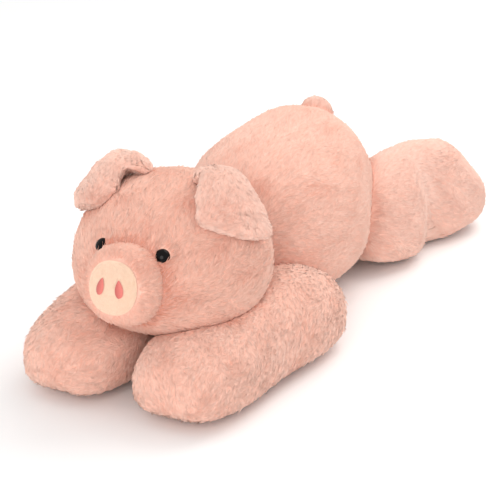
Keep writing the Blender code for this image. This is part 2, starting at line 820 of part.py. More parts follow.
def add_ears(tools, empties):
    for side, word in ((1, "left"), (-1, "right")):
        for layer, start in ((1, "ear_outer_"), (-1, "ear_inner_")):
            name = start + word
            points = moved(mirrored(ear_rings(layer), side), HEAD_FRAME)
            piece = add_object(name, mesh_from_rings(name, points), empties["ear_" + word])
            cut(piece, tools["head"])
            finish(piece, PLUSH, PILE_ROUGHNESS)


def add_legs(tools, empties):
    for side, word in ((1, "left"), (-1, "right")):
        add_cover(
            (f"foreleg_skin_{word}", f"foreleg_sole_{word}", f"foreleg_stuffing_{word}"),
            FORELEG_FORM, LIMB, tools, empties["foreleg_" + word],
            seams=("sole_below", "sole_above"), side=side,
            beside=tools["body"], presses=head_presses(side),
        )
        add_cover(
            (f"hind_leg_skin_{word}", f"hind_leg_sole_{word}", f"hind_leg_stuffing_{word}"),
            HIND_LEG_FORM, LIMB, tools, empties["hind_leg_" + word],
            seams=("sole_below", "sole_above"), side=side,
            beside=tools["body"],
        )


def add_tail(tools, parent):
    """A small ball, open where it is sewn to the rump."""
    centre = Matrix.Translation((0, TAIL_Y, top_height(BODY_FORM, TAIL_Y) - TAIL_SUNK))
    turns = np.linspace(-math.pi / 2, math.pi / 2, SMALL_RINGS + 2)

    def ball(name, radius):
        profile = [(radius * max(math.cos(a), 0), radius * math.sin(a)) for a in turns]
        profile[0], profile[-1] = (0, -radius), (0, radius)
        return mesh_from_rings(name, moved(turned_rings(profile, SMALL_SIDES), centre))

    cover = add_object("tail_skin", ball("tail_skin", TAIL_RADIUS), parent)
    filling = add_object("tail_stuffing", ball("tail_stuffing", TAIL_RADIUS - CLOTH - GAP), parent)
    hollow = add_cutter("tail_hollow", ball("tail_hollow", TAIL_RADIUS - CLOTH))
    for piece in (cover, filling):
        cut(piece, tools["body"])
    cut(cover, hollow)
    finish(cover, PLUSH, PILE_ROUGHNESS)
    finish(filling, FILLING, STUFFING_ROUGHNESS)


def main():
    clear_scene()
    empties = {
        "body": add_empty("pig", (0, 0, 0)),
        "head": add_empty("head_hinge", head_hinge()),
        "tail": add_empty("tail_hinge", tail_hinge()),
    }
    for side, word in ((1, "left"), (-1, "right")):
        empties["foreleg_" + word] = add_empty(f"foreleg_{word}_hinge", foreleg_hinge(side))
        empties["hind_leg_" + word] = add_empty(f"hind_leg_{word}_hinge", hind_leg_hinge(side))
        empties["ear_" + word] = add_empty(f"ear_{word}_hinge", ear_hinge(side))
    tools = make_tools()
    add_body(tools, empties["body"])
    cover, filling = add_head(tools, empties["head"])
    muzzle = add_muzzle(tools, empties["head"])
    add_disc(empties["head"])
    add_eyes((cover, muzzle), filling, empties["head"])
    add_ears(tools, empties)
    add_legs(tools, empties)
    add_tail(tools, empties["tail"])


main()
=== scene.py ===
"""The plush pig as it looks: covers with their pile, the snout, the eyes and the ears.

Metres, +Z up. It faces -Y and its left is +X. Each stuffed cover is the form of its solid, a
little smaller, and tapered locks of pile lie on it and reach just past the solid.
"""
import math
from typing import NamedTuple

import bpy
import numpy as np
from mathutils import Matrix, Vector


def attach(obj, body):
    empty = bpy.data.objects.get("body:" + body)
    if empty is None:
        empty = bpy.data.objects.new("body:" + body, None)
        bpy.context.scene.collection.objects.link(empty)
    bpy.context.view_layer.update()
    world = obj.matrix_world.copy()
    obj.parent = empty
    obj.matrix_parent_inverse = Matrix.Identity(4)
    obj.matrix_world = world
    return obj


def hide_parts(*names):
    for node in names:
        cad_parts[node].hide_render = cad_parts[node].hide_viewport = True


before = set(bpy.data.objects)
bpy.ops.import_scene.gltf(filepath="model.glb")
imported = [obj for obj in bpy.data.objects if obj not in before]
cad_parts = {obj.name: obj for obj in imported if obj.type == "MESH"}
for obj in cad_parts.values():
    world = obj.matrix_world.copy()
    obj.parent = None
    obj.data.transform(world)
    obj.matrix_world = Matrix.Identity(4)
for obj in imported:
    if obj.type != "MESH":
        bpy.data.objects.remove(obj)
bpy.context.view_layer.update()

# Body
CHEST_Y = -0.118
BODY_LENGTH = 0.310
BODY_HALF_WIDTH = 0.1045
BODY_WIDEST_HEIGHT = 0.074
BODY_HEIGHT = 0.193
BELLY_SEAM_HEIGHT = 0.014
SOLE_SEAM_HEIGHT = 0.011
FLAT_CUT = 0.0005

# Head
HEAD_Y = -0.205
HEAD_HEIGHT = 0.125
HEAD_HALF_WIDTH = 0.104
HEAD_HALF_DEPTH = 0.110
HEAD_RISE = 0.093
HEAD_DROP = 0.073
HEAD_TURN = math.radians(2)

# Muzzle, disc and nostrils
MUZZLE_RADIUS = 0.0415
MUZZLE_DEPTH = 0.070
MUZZLE_REACH = 0.020
MUZZLE_RAISED = -0.0115
MUZZLE_TILT = math.radians(13)
DISC_HALF_WIDTH = 0.0270
DISC_HALF_HEIGHT = 0.0278
DISC_RIM = 0.0016
DISC_CROWN = 0.006
DISC_SEAT = 0.0012
NOSTRIL_WIDTH = 0.0085
NOSTRIL_HEIGHT = 0.0175
NOSTRIL_SPACING = 0.0205
NOSTRIL_RAISED = 0.001
NOSTRIL_LEAN = math.radians(9)

# Eyes
EYE_SPACING = 0.070
EYE_RAISED = 0.043
EYE_RADIUS = 0.008
EYE_CROWN = 0.0055
EYE_SINK = 0.004

# Limbs, for the left side
SHOULDER, FORELEG_BEND, PAW = (0.0995, -0.050), (0.062, -0.182), (0.065, -0.340)
FORELEG_HALF_WIDTH = 0.0635
FORELEG_WIDEST_HEIGHT = 0.037
FORELEG_HEIGHT = 0.0945
HIP, KNEE_BEND, FOOT = (0.077, 0.097), (0.063, 0.220), (0.132, 0.332)
HIND_LEG_HALF_WIDTH = 0.056
HIND_LEG_WIDEST_HEIGHT = 0.040
HIND_LEG_HEIGHT = 0.128

# Ears, laid over the head, for the left side
EAR_OUT = np.array((0.63, -0.08, 0.77))
EAR_BACKWARDS = np.array((0.40, 0.89, -0.24))
EAR_LENGTH = 0.094
EAR_HALF_WIDTH = 0.043
EAR_SWAY = 0.020
EAR_LIFT = 0.0115
EAR_BACK_THICKNESS = 0.0115
EAR_LINING_THICKNESS = 0.020
EAR_END_POWER = 2.5
EAR_SECTION_POWER = 2.8
EAR_WIDTH_SHARES = (0.53, 0.51, 0.77, 1.05, 1.15)
EAR_SWAY_SHARES = (-0.1, -0.1, -0.1, 0, 1)
EAR_HOLLOW_SHARES = (0, 0.1, 0.9, 0.6, 0, 0, 0, 0, 0)
EAR_DROOP_SHARES = (0, 0.1, 0.45, 0.4, 0.3)
EAR_LIFT_SHARES = (0.2, 1.1, 1.6, 1.35, 0.95, 0.9, 0.8)
EAR_LEAST_HEIGHT_SHARE = 0.3

TAIL_RADIUS = 0.0205
TAIL_Y = 0.135
TAIL_SUNK = 0.004

# Covers and their pile: how deep they lie, and how close to each other
SKIN_INSET = 0.0022
SMALL_SKIN_INSET = SKIN_INSET * 0.8
EAR_SKIN_INSET = 0.002
EAR_PILE_INSET = 0.001
DISC_SKIN_INSET = 0.0008
GAP = 0.0004
CONTACT = GAP - SKIN_INSET
PRESSED = CONTACT + 0.0008
EAR_CLEARANCE = 0.0005
FLOOR_ROOM = 0.0012
NAPE_DEPTH = 0.005
MUZZLE_ROOT_DEPTH = 0.008
# The crease and seam reaches and share set how far and how strongly painted shade spreads from creases between
# forms and from seams.
CREASE_SHADE_REACH = 0.0045
SEAM_SHADE_REACH = 0.002
SEAM_SHADE_SHARE = 0.8
SEAM_GROOVE = 0.0009
SEAM_PINCH = 0.045
SEAM_SPREAD = 0.0035
DISC_EDGE_SHARE = 0.12
DISC_COVERED_SHARE = 0.99
DISC_REACH_SHARE = 0.3

# Locks of pile
PILE_LENGTH = 0.0095
MUZZLE_PILE_LENGTH = 0.0080
TAIL_PILE_LENGTH = 0.0075
EAR_PILE_LENGTH = 0.0090
DISC_PILE_LENGTH = 0.0022
LOCK_RADIUS = 0.0008
DISC_LOCK_RADIUS = 0.00032
SLOW_WAVE, SHORT_WAVE, FINE_WAVE = 0.045, 0.0065, 0.014
WAVE_COUNT = 14
WAVE_RANGE = (0.7, 1.4)
FINE_SWIRL_SHARE = 0.5
LAY_SCATTER = 0.12
LENGTH_SHARE, LENGTH_BY_DEPTH, LENGTH_SCATTER = 0.90, 0.06, 0.14
LENGTH_LIMITS = (0.45, 1.35)
THICKNESS_RANGE = (0.75, 1.3)
CREST_SHARE, CREST_SCATTER = 0.65, 0.25
TIP_SHARE, TIP_SCATTER, TIP_LIMIT = 0.2, 0.6, 3.5
ROOT_DEPTH_SHARE = 0.4
CROWN_PLACE_SHARE = 0.38
CROWN_RISE_SHARE = 0.4
CROWN_RIM_SHARE = 0.6
BEND_LIMIT_SHARE = 0.5
ROUNDING = 0.25
RUFFLE_ALONG_SHARE = 0.5
POLE_MARGIN = 0.004
PARAMETER_STEP = 0.01
TINY = 1e-12
SEARCH_REACH = 0.2
SEARCH_HALVINGS = 26
PRESS_HALVINGS = 22
FRONT_HALVINGS = 40
SLOPE_STEP = 1e-5

# Palette: 16 rows, with each lock in one column of one row and its length up the row
PALETTE_ROWS = 16
# Rows above the middle are warmer and darker: slow random mottle by the row wave, and painted shade near
# creases between forms and near seams.
MIDDLE_ROW, ROW_WAVE, ROW_SCATTER, ROW_CREASE_SHADE = 5, 2.8, 0.8, 10
SHADE_MIDDLE, SHADE_BY_DEPTH, SHADE_SCATTER = 0.5, 0.08, 0.13
SHADE_LIMITS = (0.02, 0.98)
LOCK_COLUMN = (-0.004, 0.004, 0.0, 0.0)
LOCK_PLACE = (0.06, 0.06, 0.5, 0.94)
TIP_COLOUR_PLACE = 0.75
WARM_SHARE = 0.85
PALE_SHARE = 0.7

# Colours, linear
PILE_TIP, PILE_ROOT = (0.96, 0.585, 0.465), (0.92, 0.49, 0.37)
PILE_PALE, PILE_WARM = (0.97, 0.73, 0.64), (0.84, 0.34, 0.22)
# The face colours are the pink pile's colours made darker and deeper: painted shade over the front-facing head
# and muzzle, which are the same plush as the body.
FACE_TIP, FACE_ROOT = (0.91, 0.54, 0.425), (0.87, 0.45, 0.335)
FACE_PALE, FACE_WARM = (0.93, 0.68, 0.59), (0.76, 0.28, 0.18)
CREAM_TIP, CREAM_ROOT = (0.97, 0.72, 0.56), (0.93, 0.65, 0.49)
CREAM_PALE, CREAM_WARM = (0.98, 0.79, 0.63), (0.95, 0.66, 0.46)
SKIN, SKIN_DEEP = (0.95, 0.585, 0.475), (0.90, 0.53, 0.42)
# The second thread colour is the thread darkened: painted shade on the stitches' -X ends.
THREAD, THREAD_SHADE = (0.84, 0.24, 0.20), (0.50, 0.08, 0.07)
EYE_BLACK = (0.003, 0.002, 0.002)
WASHER_WHITE = (0.75, 0.75, 0.73)
FLOOR_WHITE = (0.95, 0.95, 0.95)

# Eyes and stitches, as they are meshed
EYE_SHANK_RADIUS = 0.0024
EYE_SHANK_LENGTH = 0.0150
EYE_BACK_STEP = 0.0002
EYE_RINGS, EYE_SIDES = 24, 64
EYE_EDGE_ANGLE = 0.02
EYE_CLEAR_SHARE = 0.98
EYE_RIM_HEIGHT = 0.0013
EYE_RIM_RADIUS_SHARE = 1.1
EYE_RIM_SPREAD = 0.0035
STITCHES, STITCH_STEPS, STITCH_SIDES = 26, 14, 8
STITCH_SPAN_SHARES = (-0.94, 0.97)
STITCH_RADIUS = 0.00042
STITCH_OVERHANG = 0.0003
STITCH_SLANT = 0.0004
STITCH_BOW = 0.0008
STITCH_END_POWER = 6
STITCH_END_SHARE = 0.02
DROP_POWER = 0.6
DROP_PEAK = 0.845

# Camera and light
CAMERA_PLACE = (0.88074, -1.72672, 0.88367)
CAMERA_TARGET = (0, 0.002, 0.080)
CAMERA_SHIFT = (-0.0284, -0.0402)
FOCAL_PX, PICTURE_PX = 1855, 500
SENSOR_WIDTH = 36
FLOOR_HALF_SIZE = 6.0
WORLD_LIGHT, WORLD_EXTRA_SEEN = 0.86, 0.14
# Each lamp's place, target, size, power and colour
KEY_LIGHT = ((0.4, 0.8, 1.3), (0, 0.05, 0.1), 1.2, 10.5, (1.0, 0.98, 0.95))
FILL_LIGHT = ((0.6, -2.2, 1.2), (0, 0, 0.05), 1.4, 18, (1.0, 0.975, 0.95))

SIDES = ((1, "left"), (-1, "right"))


class Form(NamedTuple):
    path: tuple
    half_width: float
    widest: float
    rise: float
    drop: float
    width_shares: tuple
    rise_shares: tuple
    end_power: float
    top_power: float
    under_power: float
    crease: float = 0.0
    crease_spread: float = 1.0
    seam: float = 0.0


BODY = Form(
    ((0, CHEST_Y), (0, CHEST_Y + BODY_LENGTH / 2), (0, CHEST_Y + BODY_LENGTH)),
    BODY_HALF_WIDTH, BODY_WIDEST_HEIGHT, BODY_HEIGHT - BODY_WIDEST_HEIGHT, BODY_WIDEST_HEIGHT + FLAT_CUT,
    (0.88, 0.97, 1.02, 0.89, 0.95), (0.94, 0.97, 0.99, 1.11, 0.93), 2.4, 2.3, 2.0,
    seam=BELLY_SEAM_HEIGHT,
)
HEAD = Form(
    ((0, -HEAD_HALF_DEPTH), (0, 0), (0, HEAD_HALF_DEPTH)),
    HEAD_HALF_WIDTH, 0, HEAD_RISE, HEAD_DROP, (0.96, 1.0, 0.98), (0.92, 1.0, 1.0), 2.0, 2.1, 2.3,
)
MUZZLE = Form(
    ((0, -MUZZLE_DEPTH / 2), (0, 0), (0, MUZZLE_DEPTH / 2)),
    MUZZLE_RADIUS, 0, MUZZLE_RADIUS, MUZZLE_RADIUS, (1, 1), (1, 1), 4.0, 2.2, 2.2,
)
FORELEG = Form(
    (SHOULDER, FORELEG_BEND, PAW),
    FORELEG_HALF_WIDTH, FORELEG_WIDEST_HEIGHT, FORELEG_HEIGHT - FORELEG_WIDEST_HEIGHT,
    FORELEG_WIDEST_HEIGHT + FLAT_CUT,
    (0.98, 1.01, 0.96, 1.0, 1.0), (0.98, 1.0, 0.96, 0.92, 0.86), 3.6, 2.3, 3.2,
    seam=SOLE_SEAM_HEIGHT,
)
HIND_LEG = Form(
    (HIP, KNEE_BEND, FOOT),
    HIND_LEG_HALF_WIDTH, HIND_LEG_WIDEST_HEIGHT, HIND_LEG_HEIGHT - HIND_LEG_WIDEST_HEIGHT,
    HIND_LEG_WIDEST_HEIGHT + FLAT_CUT,
    (1.0, 1.04, 0.90, 0.95, 1.02), (1.0, 1.0, 1.0, 0.95, 0.55), 2.75, 2.2, 3.2, 0.3, 0.25,
    seam=SOLE_SEAM_HEIGHT,
)

WORLD_FRAME = np.eye(4)
HEAD_FRAME = np.array(
    Matrix.Translation((0, HEAD_Y, HEAD_HEIGHT)) @ Matrix.Rotation(HEAD_TURN, 4, "Z")
)
MUZZLE_FRAME = HEAD_FRAME @ np.array(
    Matrix.Translation((0, 0, MUZZLE_RAISED))
    @ Matrix.Rotation(-MUZZLE_TILT, 4, "X")
    @ Matrix.Translation((0, MUZZLE_DEPTH / 2 - HEAD_HALF_DEPTH - MUZZLE_REACH, 0))
)


# Shape formulas

def superellipse(angles, power):
    """cos and sin of the angles, both divided by (|cos|^power + |sin|^power)^(1/power)."""
    across, up = np.cos(angles), np.sin(angles)
    reach = (np.abs(across) ** power + np.abs(up) ** power) ** (-1 / power)
    return across * reach, up * reach


def between(shares, t):
    """A smooth value along t, from -1 to 1, that eases by half a cosine from each share to the next."""
    place = np.clip((t + 1) / 2, 0, 1) * (len(shares) - 1)
    first = np.minimum(place.astype(int), len(shares) - 2)
    ease = (1 - np.cos(math.pi * (place - first))) / 2
    table = np.array(shares, float)
    return table[first] * (1 - ease) + table[first + 1] * ease


def curve_point(path, s):
    """(1-s)^2 start + 2s(1-s) bend + s^2 end, and the unit slope of that curve."""
    start, bend, end = (np.array(point, float) for point in path)
    s = np.asarray(s)[..., None]
    places = (1 - s) ** 2 * start + 2 * s * (1 - s) * bend + s**2 * end
    slopes = 2 * (1 - s) * (bend - start) + 2 * s * (end - bend)
    return places, slopes / np.linalg.norm(slopes, axis=-1, keepdims=True)


def path_length(path):
    places, _ = curve_point(path, np.linspace(0, 1, 25))
    return np.linalg.norm(np.diff(places, axis=0), axis=1).sum()


def along_path(form, t, grow):
    """Places and slopes on a form's path at t, from -1 to 1 and lengthened by grow at both ends."""
    return curve_point(form.path, (1 + t * (1 + 2 * grow / path_length(form.path))) / 2)


def moved(points, matrix):
    return points @ matrix[:3, :3].T + matrix[:3, 3]


def pinched(form, height):
    """The share of its size that a form keeps at a height: 1 - pinch exp(-((height - seam) / spread)^2)."""
    if not form.seam:
        return 1.0
    return 1 - SEAM_PINCH * np.exp(-(((height - form.seam) / SEAM_SPREAD) ** 2))


def form_points(form, grow, down, turn):
    """A swollen tube. down, from pi to 0, gives the place along it and the ring's size share as a
    superellipse of the end power; turn goes round the ring, a superellipse whose width, rise and
    drop are the form's, each plus grow. A crease exp(-(t / spread)^2) dents one side, and the
    form is drawn in at its seam.
    """
    t, size = superellipse(down, form.end_power)
    top_x, top_z = superellipse(turn, form.top_power)
    under_x, under_z = superellipse(turn, form.under_power)
    above = np.sin(turn) > 0
    width = (form.half_width * between(form.width_shares, t) + grow) * size
    rise = (form.rise * between(form.rise_shares, t) + grow) * size
    drop = (form.drop + grow) * size
    across = width * np.where(above, top_x, under_x)
    dent = form.crease * np.exp(-((t / form.crease_spread) ** 2))
    up = np.where(above, rise * top_z, drop * under_z)
    kept = pinched(form, form.widest + up)
    across = across * np.where(across > 0, 1 - dent, 1) * kept
    places, slopes = along_path(form, t * kept, grow)
    x = places[..., 0] + slopes[..., 1] * across
    y = places[..., 1] - slopes[..., 0] * across
    return np.stack([x, y, form.widest + up], axis=-1)


def level(form, matrix, points, grow=0.0):
    """How far out of a straight form points are, as (section share)^end + |t|^end: 1 on its surface."""
    local = moved(points, np.linalg.inv(matrix))
    middle, half = form.path[1][1], (form.path[2][1] - form.path[0][1]) / 2
    t = (local[..., 1] - middle) / (half + grow)
    above = local[..., 2] >= form.widest
    width = form.half_width * between(form.width_shares, t) + grow
    rise = form.rise * between(form.rise_shares, t) + grow
    power = np.where(above, form.top_power, form.under_power)
    up = (local[..., 2] - form.widest) / np.where(above, rise, form.drop + grow)
    size = (np.abs(local[..., 0] / width) ** power + np.abs(up) ** power) ** (1 / power)
    return size**form.end_power + np.abs(t) ** form.end_power


def pressed(points, form, matrix, grow, way):
    """Points inside a straight form, moved along way to where they leave it, found by halving."""
    way = np.array(way, float)
    inside = level(form, matrix, points, grow) < 1
    near = np.zeros(points.shape[:-1])
    far = np.full(points.shape[:-1], SEARCH_REACH)
    for _ in range(PRESS_HALVINGS):
        middle = (near + far) / 2
        within = level(form, matrix, points + middle[..., None] * way, grow) < 1
        near, far = np.where(within, middle, near), np.where(within, far, middle)
    return points + np.where(inside, far, 0)[..., None] * way


def front_point(form, matrix, x, z):
    """Where a straight form's front surface lies at x and z of its own frame, and its normal."""
    near, far = form.path[0][1], 0.0
    for _ in range(FRONT_HALVINGS):
        middle = (near + far) / 2
        if level(form, WORLD_FRAME, np.array([x, middle, z])) > 1:
            near = middle
        else:
            far = middle
    place = np.array([x, far, z])
    slope = np.array([
        level(form, WORLD_FRAME, place + step) - level(form, WORLD_FRAME, place - step)
        for step in SLOPE_STEP * np.eye(3)
    ])
    return moved(place, matrix), matrix[:3, :3] @ (slope / np.linalg.norm(slope))


def body_top(y):
    t = (y - CHEST_Y) / BODY_LENGTH * 2 - 1
    size = (1 - abs(t) ** BODY.end_power) ** (1 / BODY.end_power)
    return BODY.widest + BODY.rise * between(BODY.rise_shares, np.array([t]))[0] * size


# Surfaces: functions of (down, turn, grow) whose results are whole arrays of points

def body_surface(down, turn, grow):
    return form_points(BODY, grow, down, turn)


def head_surface(down, turn, grow):
    return moved(form_points(HEAD, grow, down, turn), HEAD_FRAME)


def muzzle_surface(down, turn, grow):
    return moved(form_points(MUZZLE, grow, down, turn), MUZZLE_FRAME)


def foreleg_surface(side):
    """A foreleg's form, its points inside the chest moved out sideways and those under the head down."""
    def surface(down, turn, grow):
        points = form_points(FORELEG, grow, down, turn) * (side, 1, 1)
        points = pressed(points, BODY, WORLD_FRAME, CONTACT, (side, 0, 0))
        return pressed(points, HEAD, HEAD_FRAME, CONTACT, (0, 0, -1))
    return surface


def hind_leg_surface(side):
    """A hind leg's form, its points inside the body moved out along the leg's run."""
    def surface(down, turn, grow):
        points = form_points(HIND_LEG, grow, down, turn) * (side, 1, 1)
        return pressed(points, BODY, WORLD_FRAME, CONTACT, (side * 0.8, 0.6, 0))
    return surface


def tail_surface(down, turn, grow):
    """A sphere: its radius plus grow times (cos turn sin down, cos down, sin turn sin down)."""
    radius = TAIL_RADIUS + grow
    shape = np.stack([np.cos(turn) * np.sin(down), np.cos(down), np.sin(turn) * np.sin(down)], axis=-1)
    return shape * radius + (0, TAIL_Y, body_top(TAIL_Y) - TAIL_SUNK)


def surface_distance(form, ways):
    """How far from its middle a straight form's surface lies, in each of some directions."""
    near = np.zeros(ways.shape[:-1])
    far = near + SEARCH_REACH
    for _ in range(SEARCH_HALVINGS):
        middle = (near + far) / 2
        within = level(form, WORLD_FRAME, middle[..., None] * ways) < 1
        near, far = np.where(within, middle, near), np.where(within, far, middle)
    return near


def ear_surface(side):
    """A pad laid over the head on straight lines out of its middle.

    t along it and its ring size are the superellipse of down, and the superellipse of turn gives
    the share across it and how far its back and its lining swell from its middle. The middle
    rises in a fold beside the root, and a hollow opens under the fold at the front.
    """
    out = unit(EAR_OUT)
    backwards = unit(EAR_BACKWARDS - out * (out @ EAR_BACKWARDS))
    outwards = np.cross(backwards, out)
    middle = surface_distance(HEAD, out) * out

    def surface(down, turn, grow):
        t, size = superellipse(down, EAR_END_POWER)
        wide, swell = superellipse(turn, EAR_SECTION_POWER)
        width = (EAR_HALF_WIDTH * between(EAR_WIDTH_SHARES, t) + grow) * size
        across = width * wide + EAR_SWAY * between(EAR_SWAY_SHARES, t)
        along = (EAR_LENGTH / 2 + grow) * t
        hollow = between(EAR_HOLLOW_SHARES, t) * ((1 - wide) / 2) ** 2
        thick = np.where(swell > 0, EAR_BACK_THICKNESS, EAR_LINING_THICKNESS * (1 - hollow)) + grow
        droop = between(EAR_DROOP_SHARES, t) * wide**2
        lift = EAR_LIFT * between(EAR_LIFT_SHARES, t) * (1 - droop)
        ways = unit(middle + along[..., None] * outwards + across[..., None] * backwards)
        height = np.maximum(lift + thick * size * swell, EAR_LEAST_HEIGHT_SHARE * grow)
        points = (surface_distance(HEAD, ways) + height)[..., None] * ways
        return moved(points * (side, 1, 1), HEAD_FRAME)
    return surface


# Meshes

def add_piece(name, points, faces, body, material):
    """A smooth mesh of those points and faces, riding on a body."""
    mesh = bpy.data.meshes.new(name)
    mesh.vertices.add(len(points))
    mesh.vertices.foreach_set("co", np.asarray(points, np.float32).ravel())
    faces = np.asarray(faces, np.int32)
    sides = faces.shape[1]
    mesh.loops.add(faces.size)
    mesh.loops.foreach_set("vertex_index", faces.ravel())
    mesh.polygons.add(len(faces))
    mesh.polygons.foreach_set("loop_start", np.arange(0, faces.size, sides, dtype=np.int32))
    mesh.polygons.foreach_set("use_smooth", np.ones(len(faces), bool))
    mesh.update(calc_edges=True)
    mesh.materials.append(material)
    piece = bpy.data.objects.new(name, mesh)
    bpy.context.scene.collection.objects.link(piece)
    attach(piece, body)
    return piece


def grid_faces(rows, sides):
    """Triangles of a closed grid: rings of sides points, then the two end points."""
    ring = np.arange(rows - 1)[:, None] * sides
    i = np.arange(sides)[None]
    j = (i + 1) % sides
    a, b, c, d = ring + i, ring + j, ring + sides + j, ring + sides + i
    walls = np.concatenate([np.stack([a, b, c], -1).reshape(-1, 3), np.stack([a, c, d], -1).reshape(-1, 3)])
    start, end, last = rows * sides, rows * sides + 1, (rows - 1) * sides
    i, j = i[0], j[0]
    first = np.stack([np.full(sides, start), j, i], -1)
    final = np.stack([np.full(sides, end), last + i, last + j], -1)
    return np.concatenate([walls, first, final])


def facing_out(points, faces):
    """The faces of a closed mesh, turned over if they face inwards."""
    return faces[:, ::-1] if volume_sign(points, faces) < 0 else faces


def volume_sign(points, faces):
    a, b, c = points[faces[:, 0]], points[faces[:, 1]], points[faces[:, 2]]
    return np.sign((a * np.cross(b, c)).sum())


def add_closed(name, surface, grow, rows, sides, body, material, change=None):
    """A closed skin: the surface on an even grid of its two parameters, with a point at each end."""
    down = np.linspace(math.pi, 0, rows + 2)[1:-1, None] + np.zeros((1, sides))
    turn = np.linspace(0, 2 * math.pi, sides, endpoint=False)[None] + np.zeros((rows, 1))
    ends = surface(np.array([math.pi, 0.0]), np.array([0.1, 0.1]), grow)
    points = np.concatenate([surface(down, turn, grow).reshape(-1, 3), ends])
    if change:
        points = change(points)
    return add_piece(name, points, facing_out(points, grid_faces(rows, sides)), body, material)


# Pile

def waves(rng, length):
    """Wave vectors and phases of a sum of sines whose waves are about that long."""
    ways = rng.normal(size=(WAVE_COUNT, 3))
    ways /= np.linalg.norm(ways, axis=1, keepdims=True)
    numbers = 2 * math.pi / (length * rng.uniform(*WAVE_RANGE, WAVE_COUNT))
    return ways * numbers[:, None], rng.uniform(0, 2 * math.pi, WAVE_COUNT)


def wave_value(field, points):
    """The mean of sin(way . point + phase), scaled to spread about one."""
    ways, phases = field
    return np.sin(points @ ways.T + phases).sum(-1) * math.sqrt(2 / len(phases))


def wave_slope(field, points):
    """The slope of wave_value, as a direction of about unit length."""
    ways, phases = field
    size = np.linalg.norm(ways, axis=1).mean()
    return np.cos(points @ ways.T + phases) @ ways * (math.sqrt(2 / len(phases)) / size)


def unit(vectors):
    return vectors / (np.linalg.norm(vectors, axis=-1, keepdims=True) + TINY)


def spread_roots(surface, inset, count, rng):
    """The two parameters of points spread evenly over a surface, and where the surface's middle is."""
    rows, sides = 90, 120
    edges_down = np.linspace(math.pi - POLE_MARGIN, POLE_MARGIN, rows + 1)
    edges_turn = np.linspace(0, 2 * math.pi, sides + 1)
    grid = surface(*np.broadcast_arrays(edges_down[:, None], edges_turn[None]), -inset)
    across, along = np.diff(grid, axis=1)[:-1], np.diff(grid, axis=0)[:, :-1]
    area = np.linalg.norm(np.cross(across, along), axis=-1).ravel()
    cell = rng.choice(rows * sides, size=count, p=area / area.sum())
    down = edges_down[cell // sides] + (edges_down[1] - edges_down[0]) * rng.random(count)
    return down, (cell % sides + rng.random(count)) * edges_turn[1], grid.reshape(-1, 3).mean(0)


def crease_shade(root, others, seam):
    """Painted shade: 1 where a root touches another form or a seam's height, fading with the distance. It moves
    those locks to warmer, darker rows, as if shade fell in the crease or the seam's groove.
    """
    near = np.zeros(len(root))
    for form, matrix in others:
        away = (np.clip(level(form, matrix, root), 1, None) ** (1 / form.end_power) - 1) * form.half_width
        near = np.maximum(near, np.exp(-away / CREASE_SHADE_REACH))
    if seam:
        near = np.maximum(near, SEAM_SHADE_SHARE * np.exp(-np.abs(root[:, 2] - seam) / SEAM_SHADE_REACH))
    return near


def slopes_by(surface, down, turn, inset):
    """The surface's slopes by its two parameters, dS/d down and dS/d turn."""
    step = PARAMETER_STEP
    by_down = (surface(down + step, turn, -inset) - surface(down - step, turn, -inset)) / (2 * step)
    by_turn = (surface(down, turn + step, -inset) - surface(down, turn - step, -inset)) / (2 * step)
    return by_down, by_turn


def along_slopes(ways, by_down, by_turn):
    """The a and b for which a(dS/d down) + b(dS/d turn) comes nearest to each way."""
    down_down, down_turn, turn_turn = (by_down**2).sum(-1), (by_down * by_turn).sum(-1), (by_turn**2).sum(-1)
    way_down, way_turn = (ways * by_down).sum(-1), (ways * by_turn).sum(-1)
    whole = down_down * turn_turn - down_turn**2 + TINY
    a = (way_down * turn_turn - way_turn * down_turn) / whole
    b = (way_turn * down_down - way_down * down_turn) / whole
    return a, b


def combed(flow, root, normal, fields, swirl, clump, rng):
    """The way each lock lies: the flow, turned by slow and fine waves, then by short ones into clumps."""
    slow, short, fine = fields

    def laid(ways):
        return unit(ways - normal * (ways * normal).sum(-1, keepdims=True))
    lay = laid(flow(root) if callable(flow) else np.array(flow, float) + 0 * root)
    lay = unit(lay + swirl * wave_slope(slow, root) + FINE_SWIRL_SHARE * swirl * wave_slope(fine, root))
    lay = unit(lay + clump * wave_slope(short, root) + LAY_SCATTER * rng.normal(size=root.shape))
    return laid(lay)


